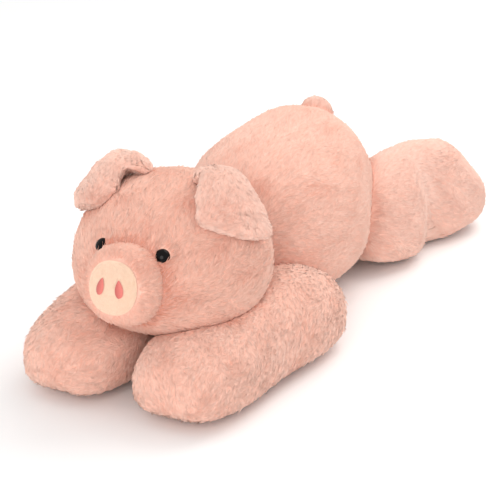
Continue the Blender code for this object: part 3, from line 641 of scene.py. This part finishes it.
def add_pile(
    name, surface, body, material, count, flow, seed, keep=None, length=PILE_LENGTH, lift=1.0,
    radius=LOCK_RADIUS, inset=SKIN_INSET, swirl=0.35, clump=0.10, ruffle=0.2, tint=0.0, others=(), seam=0.0,
    raised=None,
):
    """Locks of pile: low spikes whose roots are spread evenly over a surface.

    Four points make a lock: two at the root, its crown and its tip. It follows the surface the
    way it is combed. It is left out where the surface bends too much for it, where one of its
    upper faces would look inwards, and where it would cross a seam.
    """
    rng = np.random.default_rng(seed)
    down, turn, centre = spread_roots(surface, inset, count, rng)
    root = surface(down, turn, -inset)
    by_down, by_turn = slopes_by(surface, down, turn, inset)
    normal = unit(np.cross(by_turn, by_down))
    if ((root - centre) * normal).sum() < 0:
        normal = -normal
    kept = root[:, 2] > FLOOR_ROOM
    if keep:
        kept &= keep(root, normal)
    if seam:
        kept &= np.abs(root[:, 2] - seam) > SEAM_GROOVE
    down, turn, root, normal = down[kept], turn[kept], root[kept], normal[kept]
    count = len(root)
    fields = [waves(rng, wave) for wave in (SLOW_WAVE, SHORT_WAVE, FINE_WAVE)]
    lay = combed(flow, root, normal, fields, swirl, clump, rng)
    depth = wave_value(fields[1], root)
    share = LENGTH_SHARE + LENGTH_BY_DEPTH * depth + LENGTH_SCATTER * rng.normal(size=count)
    tall = length * share.clip(*LENGTH_LIMITS)
    a, b = along_slopes(lay, by_down[kept], by_turn[kept])
    sound = np.ones(count, bool)

    def run(share):
        """A place that share of a lock's length along the surface.

        The two parameters move like a point on a unit sphere, so that locks run across its poles too.
        """
        x = np.sin(down) + np.cos(down) * a * tall * share
        y = np.sin(down) * b * tall * share
        z = np.cos(down) - np.sin(down) * a * tall * share
        bent = surface(np.arctan2(np.hypot(x, y), z), turn + np.arctan2(y, x), -inset)
        straight = root + lay * (tall * share)[:, None]
        sound[:] &= np.linalg.norm(bent - straight, axis=1) < BEND_LIMIT_SHARE * tall * share
        return bent
    beside = unit(np.cross(lay, normal))
    thick = radius * rng.uniform(*THICKNESS_RANGE, count)[:, None]
    crest = thick * (CREST_SHARE + CREST_SCATTER * rng.random((count, 1)))
    height = thick * lift * (TIP_SHARE + TIP_SCATTER * rng.exponential(size=(count, 1))).clip(0, TIP_LIMIT)
    if raised:
        extra = raised(root)[:, None]
        height, crest = height + extra, crest + CROWN_RIM_SHARE * extra
    points = np.stack([
        root + (beside - ROOT_DEPTH_SHARE * normal) * thick,
        root - (beside + ROOT_DEPTH_SHARE * normal) * thick,
        run(CROWN_PLACE_SHARE) + normal * (crest + CROWN_RISE_SHARE * height),
        run(1.0) + normal * height,
    ], axis=1)
    points[..., 2] = np.maximum(points[..., 2], GAP)
    order = np.array([(0, 1, 2), (0, 2, 3), (2, 1, 3), (1, 0, 3)])
    outward = [
        (np.cross(points[:, second] - points[:, first], points[:, third] - points[:, first]) * normal).sum(-1)
        for first, second, third in order[1:3]
    ]
    side = np.sign(outward[0].sum())
    sound &= (outward[0] * side > 0) & (outward[1] * side > 0)
    if seam:
        sound &= (root[:, 2] - seam) * (points[:, 3, 2] - seam) > 0
    points, normal, beside, lay, root = points[sound], normal[sound], beside[sound], lay[sound], root[sound]
    depth, count = depth[sound], int(sound.sum())
    faces = (np.arange(count)[:, None, None] * 4 + order[None]).reshape(-1, 3)
    if side < 0:
        faces = faces[:, ::-1]
    piece = add_piece(name, points.reshape(-1, 3), faces, body, material)
    shade_locks(piece, normal, beside, lay, ruffle, rng)
    column = SHADE_MIDDLE + tint + SHADE_BY_DEPTH * depth + SHADE_SCATTER * rng.normal(size=count)
    row = MIDDLE_ROW + ROW_WAVE * wave_value(fields[0], root) + ROW_SCATTER * rng.normal(size=count)
    # Painted shade: locks near another form or a seam move up to warmer, darker rows.
    row = np.clip(row + ROW_CREASE_SHADE * crease_shade(root, others, seam), 0, PALETTE_ROWS - 1).astype(int)
    place_in_palette(piece, faces, np.clip(column, *SHADE_LIMITS), row)
    return piece


def shade_locks(piece, normal, beside, lay, ruffle, rng):
    """Shades each lock with the surface's own normal, ruffled, and rounded from root point to root point."""
    size = (len(normal), 1)
    turned = ruffle * rng.normal(size=size) * beside + RUFFLE_ALONG_SHARE * ruffle * rng.normal(size=size) * lay
    shading = np.repeat(unit(normal + turned)[:, None], 4, axis=1)
    shading[:, 0] += ROUNDING * beside
    shading[:, 1] -= ROUNDING * beside
    piece.data.normals_split_custom_set_from_vertices(unit(shading).reshape(-1, 3))


def place_in_palette(piece, faces, column, row):
    """Gives each lock its column and row of the palette, with its root low in the row and its tip high."""
    corner, lock = faces % 4, faces // 4
    u = column[lock] + np.array(LOCK_COLUMN)[corner]
    v = (row[lock] + np.array(LOCK_PLACE)[corner]) / PALETTE_ROWS
    layer = piece.data.uv_layers.new(name="OFBake")
    layer.data.foreach_set("uv", np.stack([u, v], -1).astype(np.float32).ravel())


# Materials

class Flow:
    """A shader socket: arithmetic on it adds Math nodes, and node() adds any other node."""

    def __init__(self, tree, socket):
        self.tree, self.socket = tree, socket

    def math(self, operation, *values):
        return self.node("ShaderNodeMath", {"operation": operation}, (self, *values))

    def node(self, kind, settings, values, out=0):
        made = self.tree.nodes.new(kind)
        for name, value in settings.items():
            setattr(made, name, value)
        pairs = values.items() if isinstance(values, dict) else enumerate(values)
        for key, value in pairs:
            if isinstance(value, Flow):
                self.tree.links.new(value.socket, made.inputs[key])
            else:
                made.inputs[key].default_value = value
        return Flow(self.tree, made.outputs[out])

    def __add__(self, other):
        return self.math("ADD", other)

    def __mul__(self, other):
        return self.math("MULTIPLY", other)

    def __sub__(self, other):
        return self.math("SUBTRACT", other)

    def __rsub__(self, other):
        return self.node("ShaderNodeMath", {"operation": "SUBTRACT"}, (other, self))

    def __truediv__(self, other):
        return self.math("DIVIDE", other)

    __radd__, __rmul__ = __add__, __mul__


def new_material(name, colour, roughness, **constants):
    """A material with a Principled shader and its constants, and a start for its expressions."""
    material = bpy.data.materials.new(name)
    material.use_nodes = True
    tree = material.node_tree
    shader = tree.nodes["Principled BSDF"]
    shader.inputs["Base Color"].default_value = (*colour, 1)
    shader.inputs["Roughness"].default_value = roughness
    for key, value in constants.items():
        shader.inputs[key.replace("_", " ")].default_value = value
    return material, shader, Flow(tree, None)


def feed(shader, name, flow):
    flow.tree.links.new(flow.socket, shader.inputs[name])


def mixed(share, first, second):
    """A colour between two, by a share that is a socket."""
    return share.node("ShaderNodeMix", {"data_type": "RGBA"}, {"Factor": share, 6: first, 7: second}, out=2)


def pile_material(name, tip, root, pale, warm):
    """Colour along a lock from root to tip, by v within its row, and over the locks by u and the row."""
    material, shader, start = new_material(name, tip, 0.92, Specular_IOR_Level=0.0, Diffuse_Roughness=0.6)
    place = start.node("ShaderNodeUVMap", {"uv_map": "OFBake"}, ())
    u = place.node("ShaderNodeSeparateXYZ", {}, (place,), out=0)
    v = place.node("ShaderNodeSeparateXYZ", {}, (place,), out=1) * PALETTE_ROWS
    row = v.math("FLOOR")
    along = v - row
    tipwards = along.node("ShaderNodeMapRange", {}, (along, 0.0, TIP_COLOUR_PLACE, 0.0, 1.0))
    # Higher rows mix in the warm colour: random mottle, and painted shade in creases and at seams.
    mottle_and_crease_shade = row / (PALETTE_ROWS - 1)
    lock = mixed(tipwards, (*root, 1), (*tip, 1))
    lock = mixed(mottle_and_crease_shade * mottle_and_crease_shade * WARM_SHARE, lock, (*warm, 1))
    lock = mixed(u * PALE_SHARE, lock, (*pale, 1))
    feed(shader, "Base Color", lock)
    return material


def skin_material(name, colour, deep):
    """Backing cloth between the locks: knitted rows, with its colour mottled."""
    material, shader, start = new_material(name, colour, 0.95, Specular_IOR_Level=0.1)
    place = start.node("ShaderNodeTexCoord", {}, (), out=3)
    mottle = place.node("ShaderNodeTexNoise", {}, {"Vector": place, "Scale": 60.0, "Detail": 3.0})
    feed(shader, "Base Color", mixed(mottle, (*deep, 1), (*colour, 1)))
    knit = place.node("ShaderNodeTexNoise", {}, {"Vector": place, "Scale": 900.0, "Detail": 2.0})
    bump = knit.node("ShaderNodeBump", {}, {"Strength": 0.4, "Distance": 0.0006, "Height": knit})
    feed(shader, "Normal", bump)
    return material


PINK_PILE = pile_material("pink_pile", PILE_TIP, PILE_ROOT, PILE_PALE, PILE_WARM)
SHADED_FACE_PILE = pile_material("pink_face_pile_shaded", FACE_TIP, FACE_ROOT, FACE_PALE, FACE_WARM)
CREAM_PILE = pile_material("cream_pile", CREAM_TIP, CREAM_ROOT, CREAM_PALE, CREAM_WARM)
PINK_SKIN = skin_material("pink_backing", SKIN, SKIN_DEEP)
CREAM_SKIN = skin_material("cream_backing", CREAM_TIP, CREAM_ROOT)


# The covers

def above_seam(height):
    def change(points):
        points[:, 2] = np.maximum(points[:, 2], height + GAP / 2)
        return points
    return change


def sole_points(form, seam, grow, side):
    """A panel below a seam: t along the path, and across from -1 to 1 on the section's width there.

    Its underside is the form's and its top lies just under the seam.
    """
    rows, sides = 60, 24
    height = form.widest - seam + GAP / 2
    reach = (1 - (height / (form.drop + grow)) ** form.end_power) ** (1 / form.end_power) * 0.995
    t = np.sin(np.linspace(-math.pi / 2, math.pi / 2, rows))[:, None] * reach
    size = (1 - np.abs(t) ** form.end_power) ** (1 / form.end_power)
    drop = (form.drop + grow) * size
    width = (form.half_width * between(form.width_shares, t) + grow) * size
    power = form.under_power
    widest = np.clip(1 - (height / drop) ** power, 0, 1) ** (1 / power)
    a = np.cos(np.linspace(0, math.pi, sides))[None] * widest
    low = form.widest - drop * np.clip(1 - np.abs(a) ** power, 0, 1) ** (1 / power)
    low = np.maximum(low, 0.0)
    top = np.full_like(low, seam - GAP / 2)
    low = np.minimum(low, top)
    dent = form.crease * np.exp(-((t / form.crease_spread) ** 2))
    across = a * width * np.where(a > 0, 1 - dent, 1)
    ring_x = np.concatenate([across, across[:, -2:0:-1]], 1)
    ring_z = np.concatenate([low, top[:, -2:0:-1]], 1)
    kept = pinched(form, ring_z)
    places, slopes = along_path(form, t * kept, grow)
    ring_x = ring_x * kept
    x, y = places[..., 0] + slopes[..., 1] * ring_x, places[..., 1] - slopes[..., 0] * ring_x
    return np.stack([x, y, ring_z], -1) * (side, 1, 1)


def add_sole(name, form, seam, body, side=1, press=None):
    points = sole_points(form, seam, -SKIN_INSET, side)
    if press:
        points = press(points)
    rows, sides = points.shape[:2]
    ends = points[[0, -1]].mean(1)
    flat = np.concatenate([points.reshape(-1, 3), ends])
    return add_piece(name, flat, facing_out(flat, grid_faces(rows, sides)), body, PINK_SKIN)


def outside(*others):
    """Keeps the roots that lie outside other forms, each given as (form, frame, grow)."""
    def keep(root, normal):
        kept = np.ones(len(root), bool)
        for form, matrix, grow in others:
            kept &= level(form, matrix, root, grow) > 1
        return kept
    return keep


def both(*tests):
    def keep(root, normal):
        kept = np.ones(len(root), bool)
        for test in tests:
            kept &= test(root, normal)
        return kept
    return keep


def declare(piece, slot, *nodes, fill=0.8):
    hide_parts(*nodes)


BODY_SOLID, HEAD_SOLID, MUZZLE_SOLID = (BODY, WORLD_FRAME), (HEAD, HEAD_FRAME), (MUZZLE, MUZZLE_FRAME)


def on_left(root, normal):
    return root[:, 0] >= 0


def on_right(root, normal):
    return root[:, 0] < 0


def add_body():
    above = above_seam(BELLY_SEAM_HEIGHT)
    cover = add_closed("body_cover", body_surface, -SKIN_INSET, 90, 120, "body", PINK_SKIN, above)
    declare(cover, "plush", "body_skin", "body_stuffing")
    belly = add_sole("belly_cover", BODY, BELLY_SEAM_HEIGHT, "body")
    declare(belly, "plush", "belly_panel")
    off_head = outside((*HEAD_SOLID, -NAPE_DEPTH))
    for word, test in (("left", on_left), ("right", on_right)):
        pile = add_pile(
            f"body_pile_{word}", body_surface, "body", PINK_PILE, 88000, (0, 1, -0.15), 11,
            keep=both(off_head, test), swirl=0.30, clump=0.16, ruffle=0.10, seam=BELLY_SEAM_HEIGHT,
            others=(HEAD_SOLID,),
        )


def add_head():
    cover = add_closed("head_cover", head_surface, -SKIN_INSET, 80, 110, "head", PINK_SKIN)
    declare(cover, "plush", "head_skin", "head_stuffing")
    off = outside((*BODY_SOLID, -NAPE_DEPTH), (*MUZZLE_SOLID, -MUZZLE_ROOT_DEPTH))
    for word, test in (("left", on_left), ("right", on_right)):
        # The face pile and the negative tint make the head's pile darker: painted shade.
        pile = add_pile(
            f"head_pile_{word}", head_surface, "head", SHADED_FACE_PILE, 92000, (0, 1, 0.35), 21,
            keep=both(off, test, away_from_eyes), swirl=0.35, clump=0.35, ruffle=0.24, tint=-0.12,
            others=(BODY_SOLID, MUZZLE_SOLID), raised=eye_rims,
        )


def from_eyes(root):
    """The distance of each root from the nearer eye's middle."""
    places = [front_point(HEAD, HEAD_FRAME, side * EYE_SPACING / 2, EYE_RAISED)[0] for side in (1, -1)]
    return np.min([np.linalg.norm(root - place, axis=1) for place in places], axis=0)


def away_from_eyes(root, normal):
    return from_eyes(root) > EYE_RADIUS * EYE_CLEAR_SHARE


def eye_rims(root):
    """A rim of longer pile round each eye: height exp(-((d - r) / spread)^2)."""
    away = from_eyes(root) - EYE_RADIUS * EYE_RIM_RADIUS_SHARE
    return EYE_RIM_HEIGHT * np.exp(-((away / EYE_RIM_SPREAD) ** 2))


def muzzle_flow(root):
    """Away from the disc's middle and back along the muzzle."""
    centre = moved(np.array([0, -MUZZLE_DEPTH / 2, 0]), MUZZLE_FRAME)
    return root - centre + (0, 0.015, 0)


def add_muzzle():
    cover = add_closed("muzzle_cover", muzzle_surface, -SMALL_SKIN_INSET, 60, 80, "head", PINK_SKIN)
    declare(cover, "plush", "muzzle_skin", "muzzle_stuffing")

    def keep(root, normal):
        local = moved(root, np.linalg.inv(MUZZLE_FRAME))
        share = np.hypot(local[:, 0] / DISC_HALF_WIDTH, local[:, 2] / DISC_HALF_HEIGHT)
        shown = (share > DISC_COVERED_SHARE) | (local[:, 1] > -MUZZLE_DEPTH * DISC_REACH_SHARE)
        return shown & (level(HEAD, HEAD_FRAME, root, -MUZZLE_ROOT_DEPTH) > 1)
    # The face pile and the negative tint make the muzzle's pile darker: painted shade.
    pile = add_pile(
        "muzzle_pile", muzzle_surface, "head", SHADED_FACE_PILE, 26000, muzzle_flow, 31,
        keep=keep, others=(HEAD_SOLID,), length=MUZZLE_PILE_LENGTH, inset=SMALL_SKIN_INSET,
        swirl=0.25, clump=0.30, ruffle=0.24, tint=-0.12,
    )


def add_forelegs():
    for side, word in SIDES:
        surface, body = foreleg_surface(side), f"foreleg_{word}"
        above = above_seam(SOLE_SEAM_HEIGHT)
        cover = add_closed(f"foreleg_cover_{word}", surface, -SKIN_INSET, 90, 96, body, PINK_SKIN, above)
        declare(cover, "plush", f"foreleg_skin_{word}", f"foreleg_stuffing_{word}")

        def press(points, side=side):
            return pressed(points, BODY, WORLD_FRAME, GAP, (side, 0, 0))
        sole = add_sole(f"foreleg_sole_cover_{word}", FORELEG, SOLE_SEAM_HEIGHT, body, side, press)
        declare(sole, "plush", f"foreleg_sole_{word}")
        pile = add_pile(
            f"foreleg_pile_{word}", surface, body, PINK_PILE, 62000, (0.25 * side, -1, -0.35), 41 + side,
            keep=outside((*BODY_SOLID, PRESSED), (*HEAD_SOLID, PRESSED)), others=(BODY_SOLID, HEAD_SOLID),
            lift=1.25, swirl=0.45, clump=0.55, ruffle=0.26, seam=SOLE_SEAM_HEIGHT,
        )


def add_hind_legs():
    for side, word in SIDES:
        surface, body = hind_leg_surface(side), f"hind_leg_{word}"
        above = above_seam(SOLE_SEAM_HEIGHT)
        cover = add_closed(f"hind_leg_cover_{word}", surface, -SKIN_INSET, 90, 90, body, PINK_SKIN, above)
        declare(cover, "plush", f"hind_leg_skin_{word}", f"hind_leg_stuffing_{word}")

        def press(points, side=side):
            return pressed(points, BODY, WORLD_FRAME, GAP, (side * 0.8, 0.6, 0))
        sole = add_sole(f"hind_leg_sole_cover_{word}", HIND_LEG, SOLE_SEAM_HEIGHT, body, side, press)
        declare(sole, "plush", f"hind_leg_sole_{word}")
        # The positive tint makes the hind legs' pile paler: painted light, as if lit more from above and
        # behind.
        pile = add_pile(
            f"hind_leg_pile_{word}", surface, body, PINK_PILE, 50000, (0.2 * side, 1, -0.3), 51 + side,
            keep=outside((*BODY_SOLID, PRESSED)), others=(BODY_SOLID,),
            swirl=0.40, clump=0.12, ruffle=0.08, tint=0.25, seam=SOLE_SEAM_HEIGHT,
        )


def add_tail():
    cover = add_closed("tail_cover", tail_surface, -SMALL_SKIN_INSET, 40, 48, "tail", PINK_SKIN)
    declare(cover, "plush", "tail_skin", "tail_stuffing")
    # The positive tint makes the tail's pile paler: painted light, as if lit more from above and behind.
    pile = add_pile(
        "tail_pile", tail_surface, "tail", PINK_PILE, 6500, (0, 0.3, 1), 61,
        keep=outside((*BODY_SOLID, PRESSED)), others=(BODY_SOLID,),
        length=TAIL_PILE_LENGTH, inset=SMALL_SKIN_INSET, swirl=0.4, tint=0.3,
    )


def ear_half(side, layer):
    """Half of the ear's thickness: its back for layer 1 and its lining for -1."""
    surface = ear_surface(side)

    def half(down, turn, grow):
        folded = np.where(np.sin(turn) * layer > 0, turn, -turn)
        points = surface(down, folded, grow)
        flat = (points + surface(down, -folded, grow)) / 2
        upper = (np.sin(turn) * layer > 0)[..., None]
        return np.where(upper, points, flat)
    return half


def ear_flow(side):
    """Away from the line down the ear's middle, and a little towards its tip."""
    run = unit(np.cross(unit(EAR_BACKWARDS), unit(EAR_OUT))) * (side, 1, 1)

    def flow(root):
        apart = root - root.mean(0)
        return apart - 0.8 * (apart @ run)[:, None] * run + 0.012 * run
    return flow


def add_ears():
    for side, word in SIDES:
        body = f"ear_{word}"
        for layer, kind in ((1, "outer"), (-1, "inner")):
            half = ear_half(side, layer)
            cover = add_closed(f"ear_{kind}_cover_{word}", half, -EAR_SKIN_INSET, 48, 48, body, PINK_SKIN)
            declare(cover, "plush", f"ear_{kind}_{word}", fill=0.4)
        pile = add_pile(
            f"ear_pile_{word}", ear_surface(side), body, PINK_PILE, 32000, ear_flow(side), 71 + side,
            keep=outside((*HEAD_SOLID, EAR_CLEARANCE)), others=(HEAD_SOLID,), length=EAR_PILE_LENGTH,
            inset=EAR_PILE_INSET, lift=0.9, swirl=0.3, clump=0.45, ruffle=0.20, tint=0.20,
        )


# The face

def disc_surface(down, turn, grow):
    """The disc: a superellipse in outline, crowned as 1 minus the square of the share from its middle."""
    x, z = superellipse(turn, MUZZLE.top_power)
    share = np.sin(down)
    front = down > math.pi / 2
    edge = np.clip((1 - share) / DISC_EDGE_SHARE, 0, 1)
    depth = np.where(front, -DISC_RIM * (1 - (1 - edge) ** 2) - DISC_CROWN * (1 - share**2) - grow, 0)
    back = -MUZZLE_DEPTH / 2 + DISC_SEAT
    x, z = x * (DISC_HALF_WIDTH + grow) * share, z * (DISC_HALF_HEIGHT + grow) * share
    return moved(np.stack([x, back + depth, z], -1), MUZZLE_FRAME)


def add_disc():
    disc = add_closed("disc_cover", disc_surface, -DISC_SKIN_INSET, 60, 96, "head", CREAM_SKIN)
    declare(disc, "cream_pile", "snout_disc", fill=0.5)
    forward = -MUZZLE_FRAME[:3, 1]

    def keep(root, normal):
        local = moved(root, np.linalg.inv(MUZZLE_FRAME))
        kept = normal @ forward > 0.1
        for side in (1, -1):
            x, z = local[:, 0] - side * NOSTRIL_SPACING / 2, local[:, 2] - NOSTRIL_RAISED
            kept &= ~nostril_holds(x, z, side, 0.0)
        return kept
    pile = add_pile(
        "disc_pile", disc_surface, "head", CREAM_PILE, 15000, tuple(-MUZZLE_FRAME[:3, 2]), 81,
        keep=keep, length=DISC_PILE_LENGTH, radius=DISC_LOCK_RADIUS, inset=DISC_SKIN_INSET,
        swirl=0.6, clump=0.1, ruffle=0.18,
    )


def nostril_holds(x, z, side, grow):
    """Whether points of the disc's plane lie on the leaning drop of a nostril."""
    lean = NOSTRIL_LEAN * side
    across = x * math.cos(lean) + z * math.sin(lean)
    up = -x * math.sin(lean) + z * math.cos(lean)
    angle = np.arccos(np.clip(up / (NOSTRIL_HEIGHT / 2 + grow), -1, 1))
    within = np.abs(across) < (NOSTRIL_WIDTH / 2 + grow) * drop_width(angle)
    return within & (np.abs(up) < NOSTRIL_HEIGHT / 2 + grow)


def drop_width(angle):
    """sin a sin(a / 2)^power, over its largest value."""
    return np.abs(np.sin(angle)) * np.abs(np.sin(angle / 2)) ** DROP_POWER / DROP_PEAK


def add_nostrils():
    """Satin stitch: each thread a small tube from one edge of the drop to the other, bowed forward."""
    material, shader, start = new_material("coral_thread", THREAD, 0.45, Sheen_Weight=0.3, Coat_Weight=0.05)
    place = start.node("ShaderNodeUVMap", {"uv_map": "thread"}, ())
    u = place.node("ShaderNodeSeparateXYZ", {}, (place,), out=0)
    ply = place.node("ShaderNodeTexNoise", {}, {"Vector": place, "Scale": 30.0})
    # Each stitch runs from the darkened thread colour at its -X end to the thread colour at its +X end: painted
    # shade on one side of each nostril, with ply noise for the thread's own twist.
    shade_and_ply = u * 0.8 + ply * 0.3
    feed(shader, "Base Color", mixed(shade_and_ply, (*THREAD_SHADE, 1), (*THREAD, 1)))
    for side, word in SIDES:
        up = np.linspace(*STITCH_SPAN_SHARES, STITCHES) * NOSTRIL_HEIGHT / 2
        half = NOSTRIL_WIDTH / 2 * drop_width(np.arccos(up / (NOSTRIL_HEIGHT / 2))) + STITCH_OVERHANG
        a = np.linspace(-1, 1, STITCH_STEPS)
        ring = np.linspace(0, 2 * math.pi, STITCH_SIDES, endpoint=False)
        thin = np.sqrt(np.clip(1 - a**STITCH_END_POWER, STITCH_END_SHARE, 1))[None, :, None] * STITCH_RADIUS
        x = half[:, None, None] * a[None, :, None] + 0 * ring
        z = up[:, None, None] + STITCH_SLANT * a[None, :, None] + thin * np.cos(ring)
        lean = NOSTRIL_LEAN * side
        px = x * math.cos(lean) - z * math.sin(lean) + side * NOSTRIL_SPACING / 2
        pz = x * math.sin(lean) + z * math.cos(lean) + NOSTRIL_RAISED
        share = np.hypot(px / DISC_HALF_WIDTH, pz / DISC_HALF_HEIGHT)
        face = -MUZZLE_DEPTH / 2 + DISC_SEAT - DISC_RIM - DISC_CROWN * (1 - share**2)
        py = face - STITCH_BOW * (1 - a**2)[None, :, None] - thin * np.sin(ring)
        points = moved(np.stack([px, py, pz], -1), MUZZLE_FRAME)
        ends = np.stack([points[:, 0].mean(1), points[:, -1].mean(1)], 1)
        body = np.concatenate([points.reshape(STITCHES, -1, 3), ends], 1)
        base = facing_out(body[STITCHES // 2], grid_faces(STITCH_STEPS, STITCH_SIDES))
        faces = (np.arange(STITCHES)[:, None, None] * body.shape[1] + base[None]).reshape(-1, 3)
        piece = add_piece(f"nostril_stitch_{word}", body.reshape(-1, 3), faces, "head", material)
        layer = piece.data.uv_layers.new(name="thread")
        share_u = np.concatenate([np.repeat((a + 1) / 2, STITCH_SIDES), [0.0, 1.0]])
        vertex = faces.ravel()
        u_values = share_u[vertex % body.shape[1]]
        v_values = (vertex // body.shape[1] + 0.5) / STITCHES
        layer.data.foreach_set("uv", np.stack([u_values, v_values], -1).astype(np.float32).ravel())
        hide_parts(f"nostril_{word}")


def add_eyes():
    """A turned cap: radius r cos a and height s sin a, and a shank behind it."""
    material, shader, start = new_material("eye_black", EYE_BLACK, 0.06, Specular_IOR_Level=0.15)
    place = start.node("ShaderNodeTexCoord", {}, (), out=3)
    smear = place.node("ShaderNodeTexNoise", {}, {"Vector": place, "Scale": 500.0})
    feed(shader, "Roughness", smear * 0.06 + 0.05)
    for side, word in SIDES:
        place, out = front_point(HEAD, HEAD_FRAME, side * EYE_SPACING / 2, EYE_RAISED)
        turned = np.array(Vector(out).to_track_quat("Z", "Y").to_matrix())
        angle = np.linspace(EYE_EDGE_ANGLE, math.pi / 2 - EYE_EDGE_ANGLE, EYE_RINGS)
        radius = np.concatenate([[EYE_SHANK_RADIUS, EYE_SHANK_RADIUS], EYE_RADIUS * np.cos(angle)])
        shank = [-EYE_SHANK_LENGTH, -EYE_SINK - EYE_BACK_STEP]
        height = np.concatenate([shank, -EYE_SINK + EYE_CROWN * np.sin(angle)])
        ring = np.linspace(0, 2 * math.pi, EYE_SIDES, endpoint=False)
        local = np.stack([
            radius[:, None] * np.cos(ring), radius[:, None] * np.sin(ring), height[:, None] + 0 * ring
        ], -1).reshape(-1, 3)
        local = np.concatenate([local, [(0, 0, -EYE_SHANK_LENGTH), (0, 0, -EYE_SINK + EYE_CROWN)]])
        points = local @ turned.T + place
        faces = facing_out(points, grid_faces(len(radius), EYE_SIDES))
        eye = add_piece(f"eye_cap_{word}", points, faces, "head", material)
        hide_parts(f"eye_{word}")


def dress_washers():
    """The hidden lock washers keep their solids, in milky moulded plastic."""
    material, shader, start = new_material("milky_plastic", WASHER_WHITE, 0.4)
    place = start.node("ShaderNodeTexCoord", {}, (), out=3)
    cloud = place.node("ShaderNodeTexNoise", {}, {"Vector": place, "Scale": 200.0})
    feed(shader, "Roughness", cloud * 0.2 + 0.3)
    for word in ("left", "right"):
        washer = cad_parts[f"eye_washer_{word}"]
        washer.material_slots[0].material = material


# Camera, floor and light

def add_camera():
    data = bpy.data.cameras.new("camera")
    data.sensor_width = SENSOR_WIDTH
    data.lens = FOCAL_PX / PICTURE_PX * SENSOR_WIDTH
    camera = bpy.data.objects.new("camera", data)
    place, target = Vector(CAMERA_PLACE), Vector(CAMERA_TARGET)
    data.shift_x, data.shift_y = CAMERA_SHIFT
    camera.location = place
    camera.rotation_euler = (target - place).to_track_quat("-Z", "Y").to_euler()
    bpy.context.scene.collection.objects.link(camera)
    bpy.context.scene.camera = camera


def add_light(name, place, target, size, energy, colour):
    data = bpy.data.lights.new(name, "AREA")
    data.shape, data.size, data.energy, data.color = "DISK", size, energy, colour
    lamp = bpy.data.objects.new(name, data)
    lamp.location = place
    lamp.rotation_euler = (Vector(target) - Vector(place)).to_track_quat("-Z", "Y").to_euler()
    bpy.context.scene.collection.objects.link(lamp)


def add_studio():
    bpy.context.scene.view_settings.view_transform = "Standard"
    material = new_material("floor_white", FLOOR_WHITE, 0.9)[0]
    size = FLOOR_HALF_SIZE
    corners = [(-size, -size, 0), (size, -size, 0), (size, size, 0), (-size, size, 0)]
    mesh = bpy.data.meshes.new("floor")
    mesh.from_pydata(corners, [], [(0, 1, 2, 3)])
    mesh.materials.append(material)
    floor = bpy.data.objects.new("floor", mesh)
    bpy.context.scene.collection.objects.link(floor)
    world = bpy.data.worlds.new("studio")
    bpy.context.scene.world = world
    world.use_nodes = True
    tree = world.node_tree
    background = tree.nodes["Background"]
    start = Flow(tree, None)
    camera_ray = start.node("ShaderNodeLightPath", {}, (), out=0)
    background.inputs["Color"].default_value = (1, 1, 1, 1)
    feed(background, "Strength", camera_ray * WORLD_EXTRA_SEEN + WORLD_LIGHT)
    add_light("key", *KEY_LIGHT)
    add_light("fill", *FILL_LIGHT)


add_camera()
add_studio()
add_body()
add_head()
add_muzzle()
add_forelegs()
add_hind_legs()
add_tail()
add_ears()
add_disc()
add_nostrils()
add_eyes()
dress_washers()
